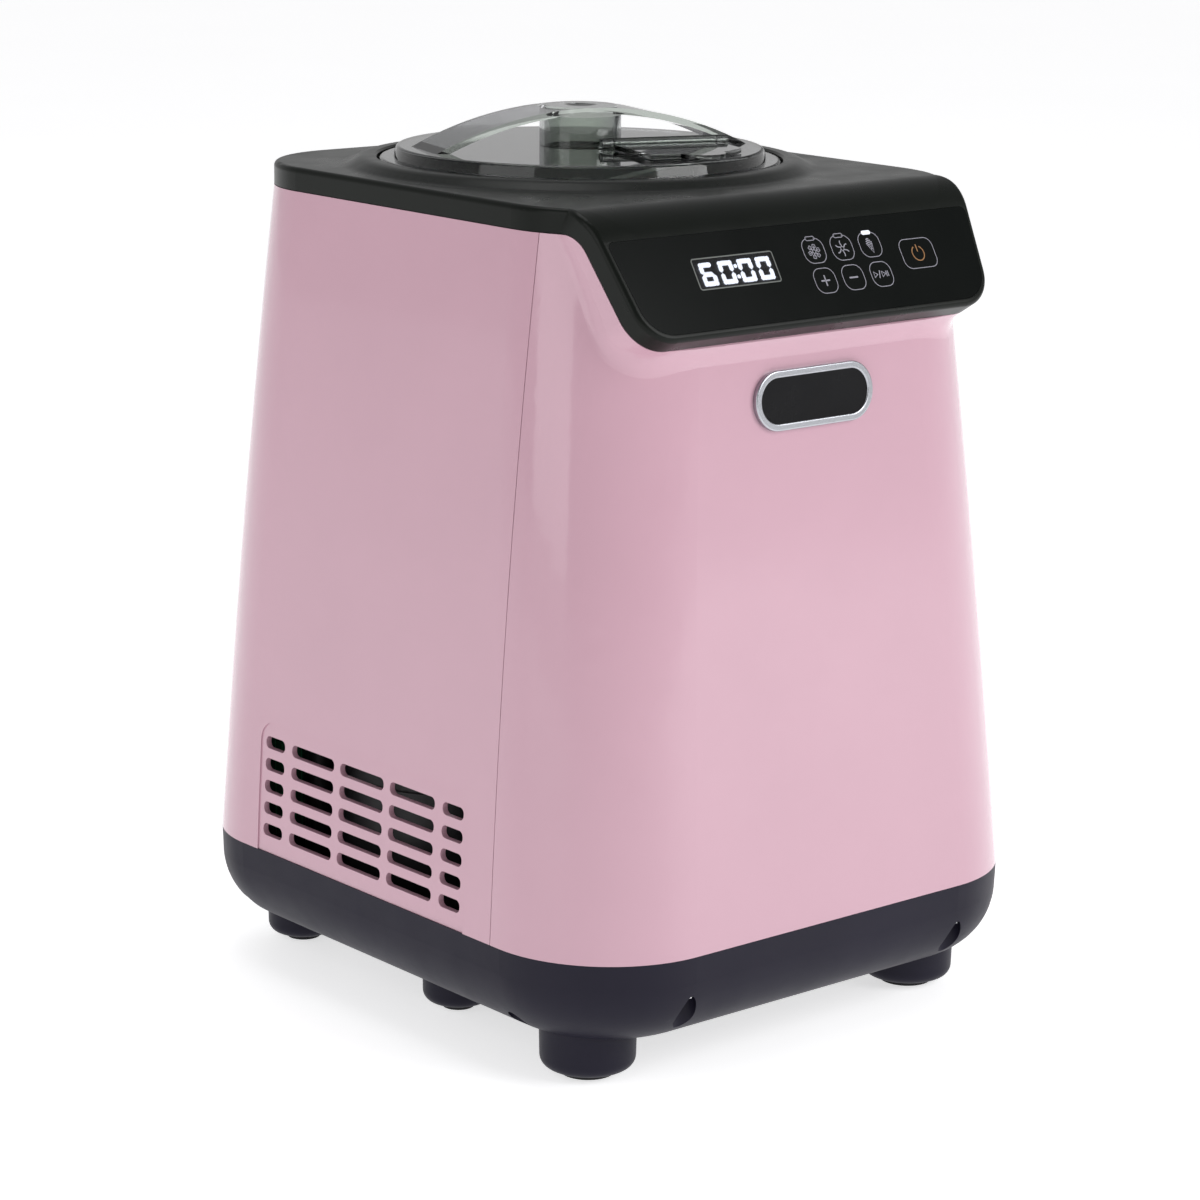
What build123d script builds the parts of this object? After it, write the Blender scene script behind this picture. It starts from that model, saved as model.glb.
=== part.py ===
from build123d import *
from math import cos, pi, radians, sin, sqrt, tan
import os

# Ice cream maker with its own compressor.
# +X is the machine's right as it faces you, -Y is its front, +Z is up, and the origin is on the floor
# below the middle of the case. All lengths are millimetres.

# ---------------------------------------------------------------- case sizes
SEAM_Z = 51.5                 # pink case meets the dark base
CASE_TOP_Z = 304.9            # pink case meets the black cover
DECK_Z = 313.5                # flat top of the cover
WALL = 2.8
SEAM_GAP = 0.3                # visible joint line between two panels
SEAM_DEG = 0.45               # the front joint leans back a little
FRONT_SEAM_Y = -72.4
REAR_SEAM_X = 62.0

# Outline of the case at three heights: height, half width, front, rear, front corner, rear corner
CASE_LEVELS = (
    (SEAM_Z, 115.8, -127.7, 127.7, 50.0, 45.0),
    (178.0, 107.8, -115.9, 121.7, 49.0, 45.0),
    (CASE_TOP_Z, 95.8, -104.1, 115.7, 47.0, 44.0),
)

# Base tray and feet
BASE_BOTTOM_Z = 16.5
BASE_TAPER = 2.0
BASE_ROUND = 26.0
FOOT_PAD_HEIGHT = 3.2
FOOT_SOLE_Z = 2.4             # the feet end here and the pads reach the floor
FOOT_ROUND = 4.5
FOOT_HEIGHT = 26.0
FOOT_TAPER = 1.5
FOOT_PAD_INSET = 7.5          # the pads are this much smaller than the feet
FRONT_FOOT = (81.0, -86.0, 17.5)      # x, y, radius; each foot has a twin on the other side
MIDDLE_FOOT = (75.5, -2.5, 13.5)
REAR_FOOT = (74.0, 101.0, 14.0)
SCALLOP_RADIUS = 4.2
SCALLOP_TOP_Z = 38.0
FRONT_SCALLOP = (67.0, -122.5)
SIDE_SCALLOP = (105.5, -77.0)
REAR_SCALLOP = (105.5, 92.0)

# Sloping console at the front of the cover
FACE_DEG = 58.3               # slope below the horizontal
FACE_POINT = (-105.0, 291.6)  # y, z of the face's reference point
CONSOLE_THICK = DECK_Z - CASE_TOP_Z
CONSOLE_TIP = 24.4            # the face ends this far below the reference point
CONSOLE_HALF_TIP = 83.4       # half width at the lower end
CONSOLE_HALF_TOP = 93.0       # half width at the upper end
CONSOLE_UP = 40.0
CONSOLE_CORNER = 15.0
BEND_RADIUS = 20.5
EDGE_ROUND = 2.0
FLARE_RADIUS = 10.0

# Control panel: places are measured on the face from its reference point, across and up
PANEL_INSET = 2.3
PANEL_TOP = 14.2
PANEL_TOP_CORNER = 5.0
PANEL_THICK = 1.6
BOARD_DEPTH = 6.0             # the control board's front face, below the console's face
BOARD_SIZE = (140.0, 34.0)
WINDOW_CENTRE = (-33.8, -1.1)
WINDOW_SIZE = (37.6, 11.4)
DIGIT_HEIGHT = 7.6
DIGIT_WIDTH = 6.2
DIGIT_STROKE = 1.25
DIGIT_STEPS = (-13.2, -4.9, 4.9, 13.2)
KEY_PLACES = ((5.2, 3.2), (19.0, 3.2), (32.9, 3.2), (5.6, -8.6), (19.3, -8.6), (33.1, -8.6))
POWER_KEY = (54.8, -2.2)

# Badge on the front panel, left blank
BADGE_Z = 243.4
BADGE_SIZE = (57.0, 21.6)
BADGE_RIM = 2.7
BADGE_THICK = 2.0

# Vents in the side panels
VENT_ROWS = 5
VENT_PITCH_Z = 8.6
VENT_LOW_Z = SEAM_Z + 8.9
VENT_HEIGHT = 4.8
VENT_MID_Y = 8.0
VENT_COLUMNS = ((-55.4, 12.4), (-31.0, 27.2), (0.0, 27.2), (31.0, 27.2), (55.4, 12.4))
VENT_FIELD = (129.0, 51.5)    # width and height of the shallow outlined field
VENT_FIELD_DEPTH = 0.5
REAR_SLOTS = 9
REAR_SLOT_SIZE = (78.0, 4.0)
REAR_SLOT_PITCH = 9.0
REAR_SLOT_LOW_Z = 92.0

# Round well in the cover, with the lid, bowl and shaft on one axis
WELL_Y = 20.9
COLLAR_RADIUS = 89.0
COLLAR_TOP_Z = 316.8
SEAT_RADIUS = 77.0
SEAT_Z = 313.9
WELL_RADIUS = 71.6

# Lid
LID_RADIUS = 76.3
LID_TOP_Z = 316.3             # top of the outer rim
LID_WALL = 2.2
DISC_RADIUS = 69.5
DISC_TOP_Z = 320.6
LIP_RADIUS = 64.2             # locating lip that drops into the bowl
LIP_LOW_Z = 307.0
HANDLE_DEG = -17.0
HANDLE_WIDTH = 27.0
HANDLE_TOP_Z = 335.9
HANDLE_RADIUS = 137.5
HANDLE_THICK = 2.4
HUB_RADIUS = 15.5
OPENING_LOW = (8.0, -50.0)    # ingredient opening, in the handle's own directions
OPENING_HIGH = (44.0, -23.0)
OPENING_REACH = 60.0
FLAP_LOW = (5.0, -55.0)
FLAP_HIGH = (47.0, -19.5)
FLAP_REACH = 64.0
FLAP_THICK = 1.8
FLAP_GAP = 0.3
PIN_RADIUS = 1.0
KNUCKLE_RADIUS = 2.1
PIN_Y = -19.5
PIN_Z = DISC_TOP_Z + KNUCKLE_RADIUS + FLAP_GAP
EAR_WIDTH = 4.5
TAB_RADIUS = 9.0

# Bowl, paddle and cooling pot
BOWL_RADIUS = 66.0
BOWL_WALL = 1.5
BOWL_FLOOR_Z = 199.0
BOWL_RIM_LOW_Z = 309.3
BOWL_RIM_Z = 310.9
BOWL_RIM_RADIUS = 70.6
TUBE_RADIUS = 9.0
TUBE_WALL = 1.6
TUBE_TOP_Z = 262.0
SHAFT_RADIUS = 5.0
SHAFT_TOP_Z = 286.0
SHAFT_FLAT = 3.8
SHAFT_PLAY = 0.05
PADDLE_REACH = 61.5
PADDLE_LOW_Z = 203.5
PADDLE_TOP_Z = 296.0
PADDLE_THICK = 4.0
PADDLE_BAR = 5.0
PADDLE_ROWS = 3
PADDLE_COLUMNS = 2            # windows on each side of the hub
SEAL_RADIUS = 9.0
POT_GAP = 0.8
POT_WALL = 1.6
POT_FLOOR_Z = 195.0
POT_TOP_Z = 306.5
POT_FLANGE_RADIUS = 80.0
COIL_TUBE = 3.5
COIL_TURNS = 7
STEP_DEG = 10.0               # each turn steps up to the next within this angle
COIL_JOINT = 0.1
COIL_PITCH = 13.0
COIL_LOW_Z = 210.0
TAIL_DEG = 15.0               # the coil's two tails leave this far either side of the back
TAIL_LOW_Z = 168.0
TAIL_STEP = 8.3               # the outlet tail comes down this far outside the coil
FOAM_RADIUS = 86.0
FOAM_FLOOR_Z = 178.0

# Drive train
OUTPUT_TEETH = 48
SMALL_TEETH = 12
OUTPUT_MODULE = 1.25
LARGE_TEETH = 50
PINION_TEETH = 12
LARGE_MODULE = 1.0
TOOTH_SHARE = 0.40            # tooth thickness over the pitch, less than half for backlash
IDLER_DEG = -46.0             # direction from the drive shaft to the idler
PINION_DEG = -140.0           # direction from the idler to the motor
OUTPUT_GEAR_Z = (148.0, 156.0)
LARGE_GEAR_Z = (136.0, 146.0)
IDLER_TOP_Z = 157.0
AXLE_RADIUS = 3.0
MOTOR_RADIUS = 28.0
MOTOR_LOW_Z = 62.0
ROTOR_RADIUS = 2.5
GEARBOX_LOW = (-36.0, -38.0, 128.0)
GEARBOX_HIGH = (56.0, 56.0, 165.0)
GEARBOX_WALL = 3.0
DECK_PLATE_Z = (171.0, 174.0)
POST_PLACES = ((-72.0, -84.0), (72.0, -84.0), (-72.0, 92.0), (72.0, 92.0))
POST_RADIUS = 6.0

# Cooling system
COMPRESSOR_PLACE = (-48.0, 34.0)
COMPRESSOR_RADIUS = 46.0
COMPRESSOR_Z = (30.0, 114.0)
PORT_TOP_Z = 118.0
DISCHARGE_PORT = (-60.0, 60.0)
SUCTION_PORT = (-40.0, 66.0)
MOUNT_SPACING = 66.0
CONDENSER_LOW = (74.0, -30.0, 30.0)
CONDENSER_HIGH = (96.0, 80.0, 122.0)
FIN_COUNT = 22
FIN_THICK = 0.8
TUBE_ROWS = 5
FAN_PLACE = (62.0, 26.0, 76.0)
FAN_RADIUS = 40.0
FAN_BLADES = 7
FAN_HUB = (13.0, 12.0)        # radius and length
FAN_MOTOR = (17.0, 26.0)      # radius and length
SHROUD_RADIUS = 41.5
PIPE_RADIUS = 3.0
PIPE_BEND = 8.0
CAPILLARY_RADIUS = 1.2
DRIER_PLACE = (18.7, 102.0)
DRIER_Z = (52.0, 120.0)
DRIER_RADIUS = 8.0

# Rear panel fittings
GLAND_PLACE = (-38.0, 77.0)   # x, z
GLAND_RADIUS = 7.0
GLAND_HOLE = 3.6
REAR_SCREW_X = 52.0
REAR_SCREW_Z = (90.0, 290.0)

os.makedirs("parts", exist_ok=True)


# ---------------------------------------------------------------- shared shapes
def case_outline(level, inset=0.0):
    """One rounded outline of the case, set in by the wall when it is the inside."""
    height, half_width, front, rear, front_corner, rear_corner = level
    with BuildSketch(Plane.XY.offset(height), mode=Mode.PRIVATE) as outline:
        with Locations((0, (front + rear) / 2)):
            Rectangle(2 * (half_width - inset), rear - front - 2 * inset)
        fillet(outline.vertices().group_by(Axis.Y)[0], front_corner - inset)
        fillet(outline.vertices().group_by(Axis.Y)[-1], rear_corner - inset)
    return outline.sketch


def case_block(inset=0.0):
    """The case as one solid, narrowing upwards with slightly bulging sides."""
    with BuildPart(mode=Mode.PRIVATE) as block:
        loft([case_outline(level, inset) for level in CASE_LEVELS])
    return block.part


FACE_NORMAL = (0, -sin(radians(FACE_DEG)), cos(radians(FACE_DEG)))
FACE_PLANE = Plane(origin=(0, *FACE_POINT), x_dir=(1, 0, 0), z_dir=FACE_NORMAL)


def face_plane(depth=0.0):
    """The console's face, sunk by depth. Local x is across and local y is up the slope."""
    return FACE_PLANE.offset(-depth)


def side_point(down, depth):
    """Side view place (y, z) of a point this far down the face and this deep below it."""
    slope = radians(FACE_DEG)
    y = FACE_POINT[0] - down * cos(slope) + depth * sin(slope)
    z = FACE_POINT[1] - down * sin(slope) - depth * cos(slope)
    return (y, z)


def bend_centre():
    """Side view centre of the big round bend between the deck and the sloping face."""
    slope = radians(FACE_DEG)
    face_offset = -FACE_POINT[0] * sin(slope) + FACE_POINT[1] * cos(slope)
    centre_z = DECK_Z - BEND_RADIUS
    centre_y = (centre_z * cos(slope) - face_offset + BEND_RADIUS) / sin(slope)
    return (centre_y, centre_z)


def under_skin(depth, tip=CONSOLE_TIP, half=130.0):
    """All the space below the cover's top surface, sunk by depth, as wide as twice half."""
    slope = radians(FACE_DEG)
    centre_y, centre_z = bend_centre()
    radius = BEND_RADIUS - depth
    rear = 140.0
    deep = 60.0
    flat_end = (centre_y, centre_z + radius)
    slope_start = (centre_y - radius * sin(slope), centre_z + radius * cos(slope))
    with BuildPart(mode=Mode.PRIVATE) as space:
        with BuildSketch(Plane.YZ.offset(-half)):
            with BuildLine():
                Line((rear, centre_z + radius), flat_end)
                TangentArc(flat_end, slope_start, tangent=(-1, 0))
                Polyline(
                    slope_start,
                    side_point(tip, depth),
                    side_point(tip, deep),
                    (rear, side_point(tip, deep)[1]),
                    (rear, centre_z + radius),
                )
            make_face()
        extrude(amount=2 * half)
    return space.part


def console_outline(plane, inset=0.0, top=CONSOLE_UP, top_corner=CONSOLE_CORNER):
    """Outline of the console on its sloping face: wider at the top, with round corners."""
    grow = (CONSOLE_HALF_TOP - CONSOLE_HALF_TIP) / (CONSOLE_UP + CONSOLE_TIP)
    low = -CONSOLE_TIP + inset
    half_low = CONSOLE_HALF_TIP - inset
    half_high = CONSOLE_HALF_TIP - inset + grow * (CONSOLE_TIP + top)
    with BuildSketch(plane, mode=Mode.PRIVATE) as outline:
        with BuildLine():
            Polyline((-half_low, low), (half_low, low), (half_high, top), (-half_high, top), close=True)
        make_face()
        fillet(outline.vertices().group_by(Axis.Y)[0], CONSOLE_CORNER - inset)
        fillet(outline.vertices().group_by(Axis.Y)[-1], top_corner - inset)
    return outline.sketch


def console_prism(inset=0.0, depth=60.0, proud=0.0):
    """The console's outline carried straight in from the face."""
    with BuildPart(mode=Mode.PRIVATE) as prism:
        extrude(console_outline(face_plane(-proud), inset), amount=-(depth + proud))
    return prism.part


def ring(outer, inner, low, high, place=(0.0, WELL_Y)):
    """A plain upright ring."""
    with BuildPart(mode=Mode.PRIVATE) as body:
        with BuildSketch(Plane.XY.offset(low)):
            with Locations(place):
                Circle(outer)
                if inner > 0:
                    Circle(inner, mode=Mode.SUBTRACT)
        extrude(amount=high - low)
    return body.part


def box_between(low, high):
    """A plain box between two opposite corners."""
    size = [abs(b - a) for a, b in zip(low, high)]
    middle = [(a + b) / 2 for a, b in zip(low, high)]
    with BuildPart(mode=Mode.PRIVATE) as body:
        with Locations(tuple(middle)):
            Box(*size)
    return body.part


def gear(module, teeth, low, face, bore, place, turn=0.0):
    """A spur gear with straight-sided teeth, thin enough to leave backlash."""
    pitch_radius = module * teeth / 2
    tip = pitch_radius + 0.85 * module
    root = pitch_radius - 1.25 * module
    half_pitch = TOOTH_SHARE * pi * module / 2
    root_half = half_pitch + 1.25 * module * tan(radians(20))
    tip_half = half_pitch - 0.85 * module * tan(radians(20))
    x, y = place
    with BuildPart(mode=Mode.PRIVATE) as body:
        with BuildSketch(Plane((x, y, low))):
            Circle(root)
            with PolarLocations(0, teeth, start_angle=turn):
                Polygon(
                    (root * 0.9, -root_half), (root, -root_half), (tip, -tip_half),
                    (tip, tip_half), (root, root_half), (root * 0.9, root_half), align=None,
                )
            if bore > 0:
                Circle(bore, mode=Mode.SUBTRACT)
        extrude(amount=face)
    return body.part


CASE = case_block()
CASE_INSIDE = case_block(WALL)


# ---------------------------------------------------------------- base tray, feet and pads
SCALLOPS = [(side, place) for place in (FRONT_SCALLOP, SIDE_SCALLOP, REAR_SCALLOP) for side in (-1, 1)]


FEET = [(side * x, y, radius) for x, y, radius in (FRONT_FOOT, MIDDLE_FOOT, REAR_FOOT) for side in (-1, 1)]


def foot(x, y, radius):
    """A round foot with a rounded sole that stands against the underside of the hull."""
    with BuildPart(mode=Mode.PRIVATE) as body:
        with BuildSketch(Plane((x, y, FOOT_SOLE_Z))):
            Circle(radius)
        extrude(amount=FOOT_HEIGHT, taper=-FOOT_TAPER)
        fillet(body.faces().sort_by(Axis.Z)[0].edges(), FOOT_ROUND)
    return body.part


def foot_pad(x, y, radius):
    """The pad let into the sole of one foot."""
    return ring(radius - FOOT_PAD_INSET, 0, 0.0, FOOT_PAD_HEIGHT, (x, y))


def base_block(inset):
    """The base's hull: the case outline going down, drawn in and rounded under."""
    with BuildPart(mode=Mode.PRIVATE) as hull:
        depth = SEAM_Z - BASE_BOTTOM_Z - inset
        extrude(case_outline(CASE_LEVELS[0], inset), amount=-depth, taper=BASE_TAPER)
        fillet(hull.faces().sort_by(Axis.Z)[0].edges(), BASE_ROUND - inset)
    return hull.part


with BuildPart() as base_tray:
    add(base_block(0.0))
    add(base_block(WALL), mode=Mode.SUBTRACT)
    for side, (scallop_x, scallop_y) in SCALLOPS:
        boss = ring(SCALLOP_RADIUS + 2.0, 0, 22.0, SCALLOP_TOP_Z + 3.0, (side * scallop_x, scallop_y))
        add(boss.intersect(base_block(0.0)))
    for side, (scallop_x, scallop_y) in SCALLOPS:
        add(ring(SCALLOP_RADIUS, 0, 0.0, SCALLOP_TOP_Z, (side * scallop_x, scallop_y)), mode=Mode.SUBTRACT)
        add(ring(1.9, 0, 0.0, SCALLOP_TOP_Z + 5.0, (side * scallop_x, scallop_y)), mode=Mode.SUBTRACT)
base_tray.part.label = "base_tray"
export_step(base_tray.part, "parts/base_tray.step")

with BuildPart() as feet:
    for place in FEET:
        add(foot(*place))
        add(foot_pad(*place), mode=Mode.SUBTRACT)
    add(base_block(0.0), mode=Mode.SUBTRACT)
feet.part.label = "feet"
export_step(feet.part, "parts/feet.step")

with BuildPart() as foot_pads:
    for place in FEET:
        add(foot_pad(*place))
foot_pads.part.label = "foot_pads"
export_step(foot_pads.part, "parts/foot_pads.step")

with BuildPart() as base_screws:
    for side, (scallop_x, scallop_y) in SCALLOPS:
        add(ring(3.4, 0, SCALLOP_TOP_Z - 2.2, SCALLOP_TOP_Z, (side * scallop_x, scallop_y)))
        add(ring(1.8, 0, SCALLOP_TOP_Z - 1.0, SCALLOP_TOP_Z + 5.0, (side * scallop_x, scallop_y)))
base_screws.part.label = "base_screws"
export_step(base_screws.part, "parts/base_screws.step")


# ---------------------------------------------------------------- pink case panels
with BuildPart() as case_shell:
    add(CASE)
    add(CASE_INSIDE, mode=Mode.SUBTRACT)

# The front joint is a plane that leans back slightly
FRONT_SEAM = Plane(
    origin=(0, FRONT_SEAM_Y, SEAM_Z), x_dir=(1, 0, 0),
    z_dir=(0, -cos(radians(SEAM_DEG)), sin(radians(SEAM_DEG))),
)
with BuildPart() as front_region:
    with BuildSketch(FRONT_SEAM.offset(SEAM_GAP / 2)):
        Rectangle(300, 700)
    extrude(amount=120)
with BuildPart() as side_region:
    with BuildSketch(FRONT_SEAM.offset(-SEAM_GAP / 2)):
        Rectangle(300, 700)
    extrude(amount=-260)
    add(box_between((-REAR_SEAM_X, 60, 0), (REAR_SEAM_X, 200, 400)), mode=Mode.SUBTRACT)


def is_flare_edge(edge):
    """True for the inner corner where the console stands out of the front of the case."""
    middle = edge.center()
    return edge.geom_type == GeomType.BSPLINE and middle.Y < FRONT_SEAM_Y - 2 and 215 < middle.Z < 302


# The front panel flares out smoothly to meet the console
with BuildPart() as front_panel:
    add(CASE)
    add(console_prism(proud=6.0))
    fillet(front_panel.edges().filter_by(is_flare_edge), FLARE_RADIUS)
    add(under_skin(CONSOLE_THICK + SEAM_GAP, tip=300.0), mode=Mode.INTERSECT)
    add(front_region.part, mode=Mode.INTERSECT)
    add(CASE_INSIDE, mode=Mode.SUBTRACT)
    add(console_prism(inset=WALL), mode=Mode.SUBTRACT)
front_panel.part.label = "front_panel"
export_step(front_panel.part, "parts/front_panel.step")


def vent_cut(side):
    """The slots and their shallow outlined field, cut through one side panel from outside."""
    field_width, field_height = VENT_FIELD
    outer = side * 125.0
    with BuildPart(mode=Mode.PRIVATE) as field:
        with BuildSketch(Plane.YZ.offset(outer)):
            with Locations((VENT_MID_Y, SEAM_Z + field_height / 2 - 10)):
                RectangleRounded(field_width, field_height + 20, 8.0)
        extrude(amount=-side * 40)
        add(case_block(VENT_FIELD_DEPTH), mode=Mode.SUBTRACT)
    with BuildPart(mode=Mode.PRIVATE) as slots:
        with BuildSketch(Plane.YZ.offset(outer)):
            for row in range(VENT_ROWS):
                for middle, length in VENT_COLUMNS:
                    with Locations((VENT_MID_Y + middle, VENT_LOW_Z + row * VENT_PITCH_Z)):
                        RectangleRounded(length, VENT_HEIGHT, VENT_HEIGHT / 2 - 0.2)
        extrude(amount=-side * 40)
    return field.part, slots.part


for side, side_name in ((-1, "left"), (1, "right")):
    panel_name = f"{side_name}_side_panel"
    field_cut, slot_cut = vent_cut(side)
    with BuildPart() as side_panel:
        add(case_shell.part)
        add(side_region.part, mode=Mode.INTERSECT)
        add(box_between((0, -200, 0), (-side * 200, 200, 400)), mode=Mode.SUBTRACT)
        add(box_between((-200, -200, CASE_TOP_Z - SEAM_GAP), (200, 200, 400)), mode=Mode.SUBTRACT)
        add(field_cut, mode=Mode.SUBTRACT)
        add(slot_cut, mode=Mode.SUBTRACT)
    side_panel.part.label = panel_name
    export_step(side_panel.part, f"parts/{panel_name}.step")


def rear_plane(x, height):
    """The tangent plane of the case's flat back at this place, facing backwards."""
    low, high = CASE_LEVELS[0], CASE_LEVELS[-1]
    lean = (low[3] - high[3]) / (high[0] - low[0])
    y = low[3] - lean * (height - low[0])
    return Plane(origin=(x, y, height), x_dir=(-1, 0, 0), z_dir=(0, 1, lean))


with BuildPart() as rear_panel:
    add(case_shell.part)
    add(box_between((-REAR_SEAM_X + SEAM_GAP, 60, 0), (REAR_SEAM_X - SEAM_GAP, 200, 400)),
        mode=Mode.INTERSECT)
    add(box_between((-200, -200, CASE_TOP_Z - SEAM_GAP), (200, 200, 400)), mode=Mode.SUBTRACT)
    for row in range(REAR_SLOTS):
        with BuildSketch(rear_plane(0, REAR_SLOT_LOW_Z + row * REAR_SLOT_PITCH)):
            SlotOverall(*REAR_SLOT_SIZE)
        extrude(amount=-8, mode=Mode.SUBTRACT)
    with BuildSketch(rear_plane(*GLAND_PLACE)):
        Circle(GLAND_RADIUS)
    extrude(amount=-8, mode=Mode.SUBTRACT)
    for screw_z in REAR_SCREW_Z:
        for side in (-1, 1):
            with BuildSketch(rear_plane(side * REAR_SCREW_X, screw_z)):
                Circle(1.6)
            extrude(amount=-8, mode=Mode.SUBTRACT)
rear_panel.part.label = "rear_panel"
export_step(rear_panel.part, "parts/rear_panel.step")

with BuildPart() as rear_screws:
    for screw_z in REAR_SCREW_Z:
        for side in (-1, 1):
            with BuildSketch(rear_plane(side * REAR_SCREW_X, screw_z)):
                Circle(3.2)
            extrude(amount=1.4)
            with BuildSketch(rear_plane(side * REAR_SCREW_X, screw_z)):
                Circle(1.5)
            extrude(amount=-9)
            with BuildSketch(rear_plane(side * REAR_SCREW_X, screw_z).offset(0.7)):
                Rectangle(3.6, 0.7)
                Rectangle(0.7, 3.6)
            extrude(amount=1, mode=Mode.SUBTRACT)
rear_screws.part.label = "rear_screws"
export_step(rear_screws.part, "parts/rear_screws.step")

# The cord leaves through this gland; the cord itself isn't part of the model
with BuildPart() as cord_gland:
    with BuildSketch(rear_plane(*GLAND_PLACE)):
        Circle(GLAND_RADIUS + 2.2)
    extrude(amount=1.0)
    with BuildSketch(rear_plane(*GLAND_PLACE)):
        Circle(GLAND_RADIUS - SHAFT_PLAY)
    extrude(amount=-6.0)
    with BuildSketch(rear_plane(*GLAND_PLACE).offset(2.0)):
        Circle(GLAND_HOLE)
    extrude(amount=-12.0, mode=Mode.SUBTRACT)
cord_gland.part.label = "cord_gland"
export_step(cord_gland.part, "parts/cord_gland.step")


# ---------------------------------------------------------------- black cover, console and panel
def deck_block(inset):
    """The case's own top outline carried up and down."""
    with BuildPart(mode=Mode.PRIVATE) as block:
        extrude(case_outline(CASE_LEVELS[-1], inset), amount=100, both=True)
    return block.part


def cover_plan(inset):
    """Everything inside the cover's outline: the case's own top outline plus the console."""
    with BuildPart(mode=Mode.PRIVATE) as plan:
        add(deck_block(inset))
        add(console_prism(inset=inset, proud=1.0))
    return plan.part


def panel_block(gap, depth):
    """The flat gloss panel's shape, let into the console's face."""
    with BuildPart(mode=Mode.PRIVATE) as block:
        outline = console_outline(face_plane(), PANEL_INSET + gap, PANEL_TOP - gap, PANEL_TOP_CORNER)
        extrude(outline, amount=-depth)
    return block.part


def face_block(centre, size, low_depth, high_depth):
    """A rectangular block between two depths below the console's face."""
    with BuildPart(mode=Mode.PRIVATE) as block:
        with BuildSketch(face_plane(low_depth)):
            with Locations(centre):
                Rectangle(*size)
        extrude(amount=low_depth - high_depth)
    return block.part


def face_pegs(places, outer, inner, low_depth, high_depth):
    """Round pegs, or rings, between two depths below the console's face."""
    with BuildPart(mode=Mode.PRIVATE) as pegs:
        with BuildSketch(face_plane(low_depth)):
            with Locations(*places):
                Circle(outer)
                if inner > 0:
                    Circle(inner, mode=Mode.SUBTRACT)
        extrude(amount=low_depth - high_depth)
    return pegs.part


def collar_profile():
    """Half section of the raised collar round the well, with the lid's seat inside it."""
    with BuildSketch(Plane.XZ.offset(-WELL_Y), mode=Mode.PRIVATE) as section:
        with BuildLine():
            Polyline(
                (COLLAR_RADIUS + 1.5, DECK_Z - WALL), (COLLAR_RADIUS + 1.5, DECK_Z),
            )
            Spline(
                (COLLAR_RADIUS + 1.5, DECK_Z), (COLLAR_RADIUS - 3.6, DECK_Z + 1.9),
                (COLLAR_RADIUS - 8.5, COLLAR_TOP_Z), tangents=((-1, 0), (-1, 0)),
            )
            Polyline(
                (COLLAR_RADIUS - 8.5, COLLAR_TOP_Z), (SEAT_RADIUS + 0.9, COLLAR_TOP_Z),
                (SEAT_RADIUS, COLLAR_TOP_Z - 0.7), (SEAT_RADIUS, SEAT_Z), (WELL_RADIUS, SEAT_Z),
                (WELL_RADIUS, BOWL_RIM_LOW_Z), (WELL_RADIUS + WALL, BOWL_RIM_LOW_Z),
                (WELL_RADIUS + WALL, DECK_Z - WALL), (COLLAR_RADIUS + 1.5, DECK_Z - WALL),
            )
        make_face()
    return section.sketch


def is_cover_rim(edge):
    """True for the outer edge of the cover's top, all the way round the deck and the console."""
    middle = edge.center()
    on_slope = abs(face_plane().to_local_coords(middle).Z) < 0.05
    on_deck = abs(middle.Z - DECK_Z) < 0.01
    centre_y, centre_z = bend_centre()
    on_bend = abs(sqrt((middle.Y - centre_y) ** 2 + (middle.Z - centre_z) ** 2) - BEND_RADIUS) < 0.05
    across = edge.geom_type == GeomType.LINE and edge.length > 150
    return (on_slope or on_deck or on_bend) and not across


BOARD_CORNERS = [
    (x * (BOARD_SIZE[0] / 2 - 5), y * (BOARD_SIZE[1] / 2 - 5) - 2) for x in (-1, 1) for y in (-1, 1)
]


def rounded_skin(block):
    """What a block leaves below the cover's top surface, with its rim rounded over."""
    with BuildPart(mode=Mode.PRIVATE) as body:
        add(under_skin(0.0))
        add(block, mode=Mode.INTERSECT)
        fillet(body.edges().filter_by(is_cover_rim), EDGE_ROUND)
    return body.part


with BuildPart() as top_cover:
    add(rounded_skin(deck_block(0.0)))
    add(rounded_skin(console_prism(proud=1.0)))
    add(under_skin(CONSOLE_THICK), mode=Mode.SUBTRACT)
    add(box_between((-200, -50, 100), (200, 200, CASE_TOP_Z)), mode=Mode.SUBTRACT)
    add(under_skin(WALL).intersect(cover_plan(WALL)), mode=Mode.SUBTRACT)
    revolve(collar_profile(), axis=Axis((0, WELL_Y, 0), (0, 0, 1)))
    add(ring(WELL_RADIUS, 0, BOWL_RIM_LOW_Z - 5, COLLAR_TOP_Z + 5), mode=Mode.SUBTRACT)
    add(face_pegs(BOARD_CORNERS, 3.0, 0, WALL - 0.5, BOARD_DEPTH))
    add(panel_block(0.0, PANEL_THICK), mode=Mode.SUBTRACT)
    add(face_block(WINDOW_CENTRE, WINDOW_SIZE, 0.0, WALL + 1.0), mode=Mode.SUBTRACT)
top_cover.part.label = "top_cover"
export_step(top_cover.part, "parts/top_cover.step")

with BuildPart() as control_panel:
    add(panel_block(SEAM_GAP / 2, PANEL_THICK))
    add(face_block(WINDOW_CENTRE, WINDOW_SIZE, 0.0, PANEL_THICK), mode=Mode.SUBTRACT)
control_panel.part.label = "control_panel"
export_step(control_panel.part, "parts/control_panel.step")

with BuildPart() as display_window:
    add(face_block(WINDOW_CENTRE, WINDOW_SIZE, 0.0, 1.0))
display_window.part.label = "display_window"
export_step(display_window.part, "parts/display_window.step")


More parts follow.
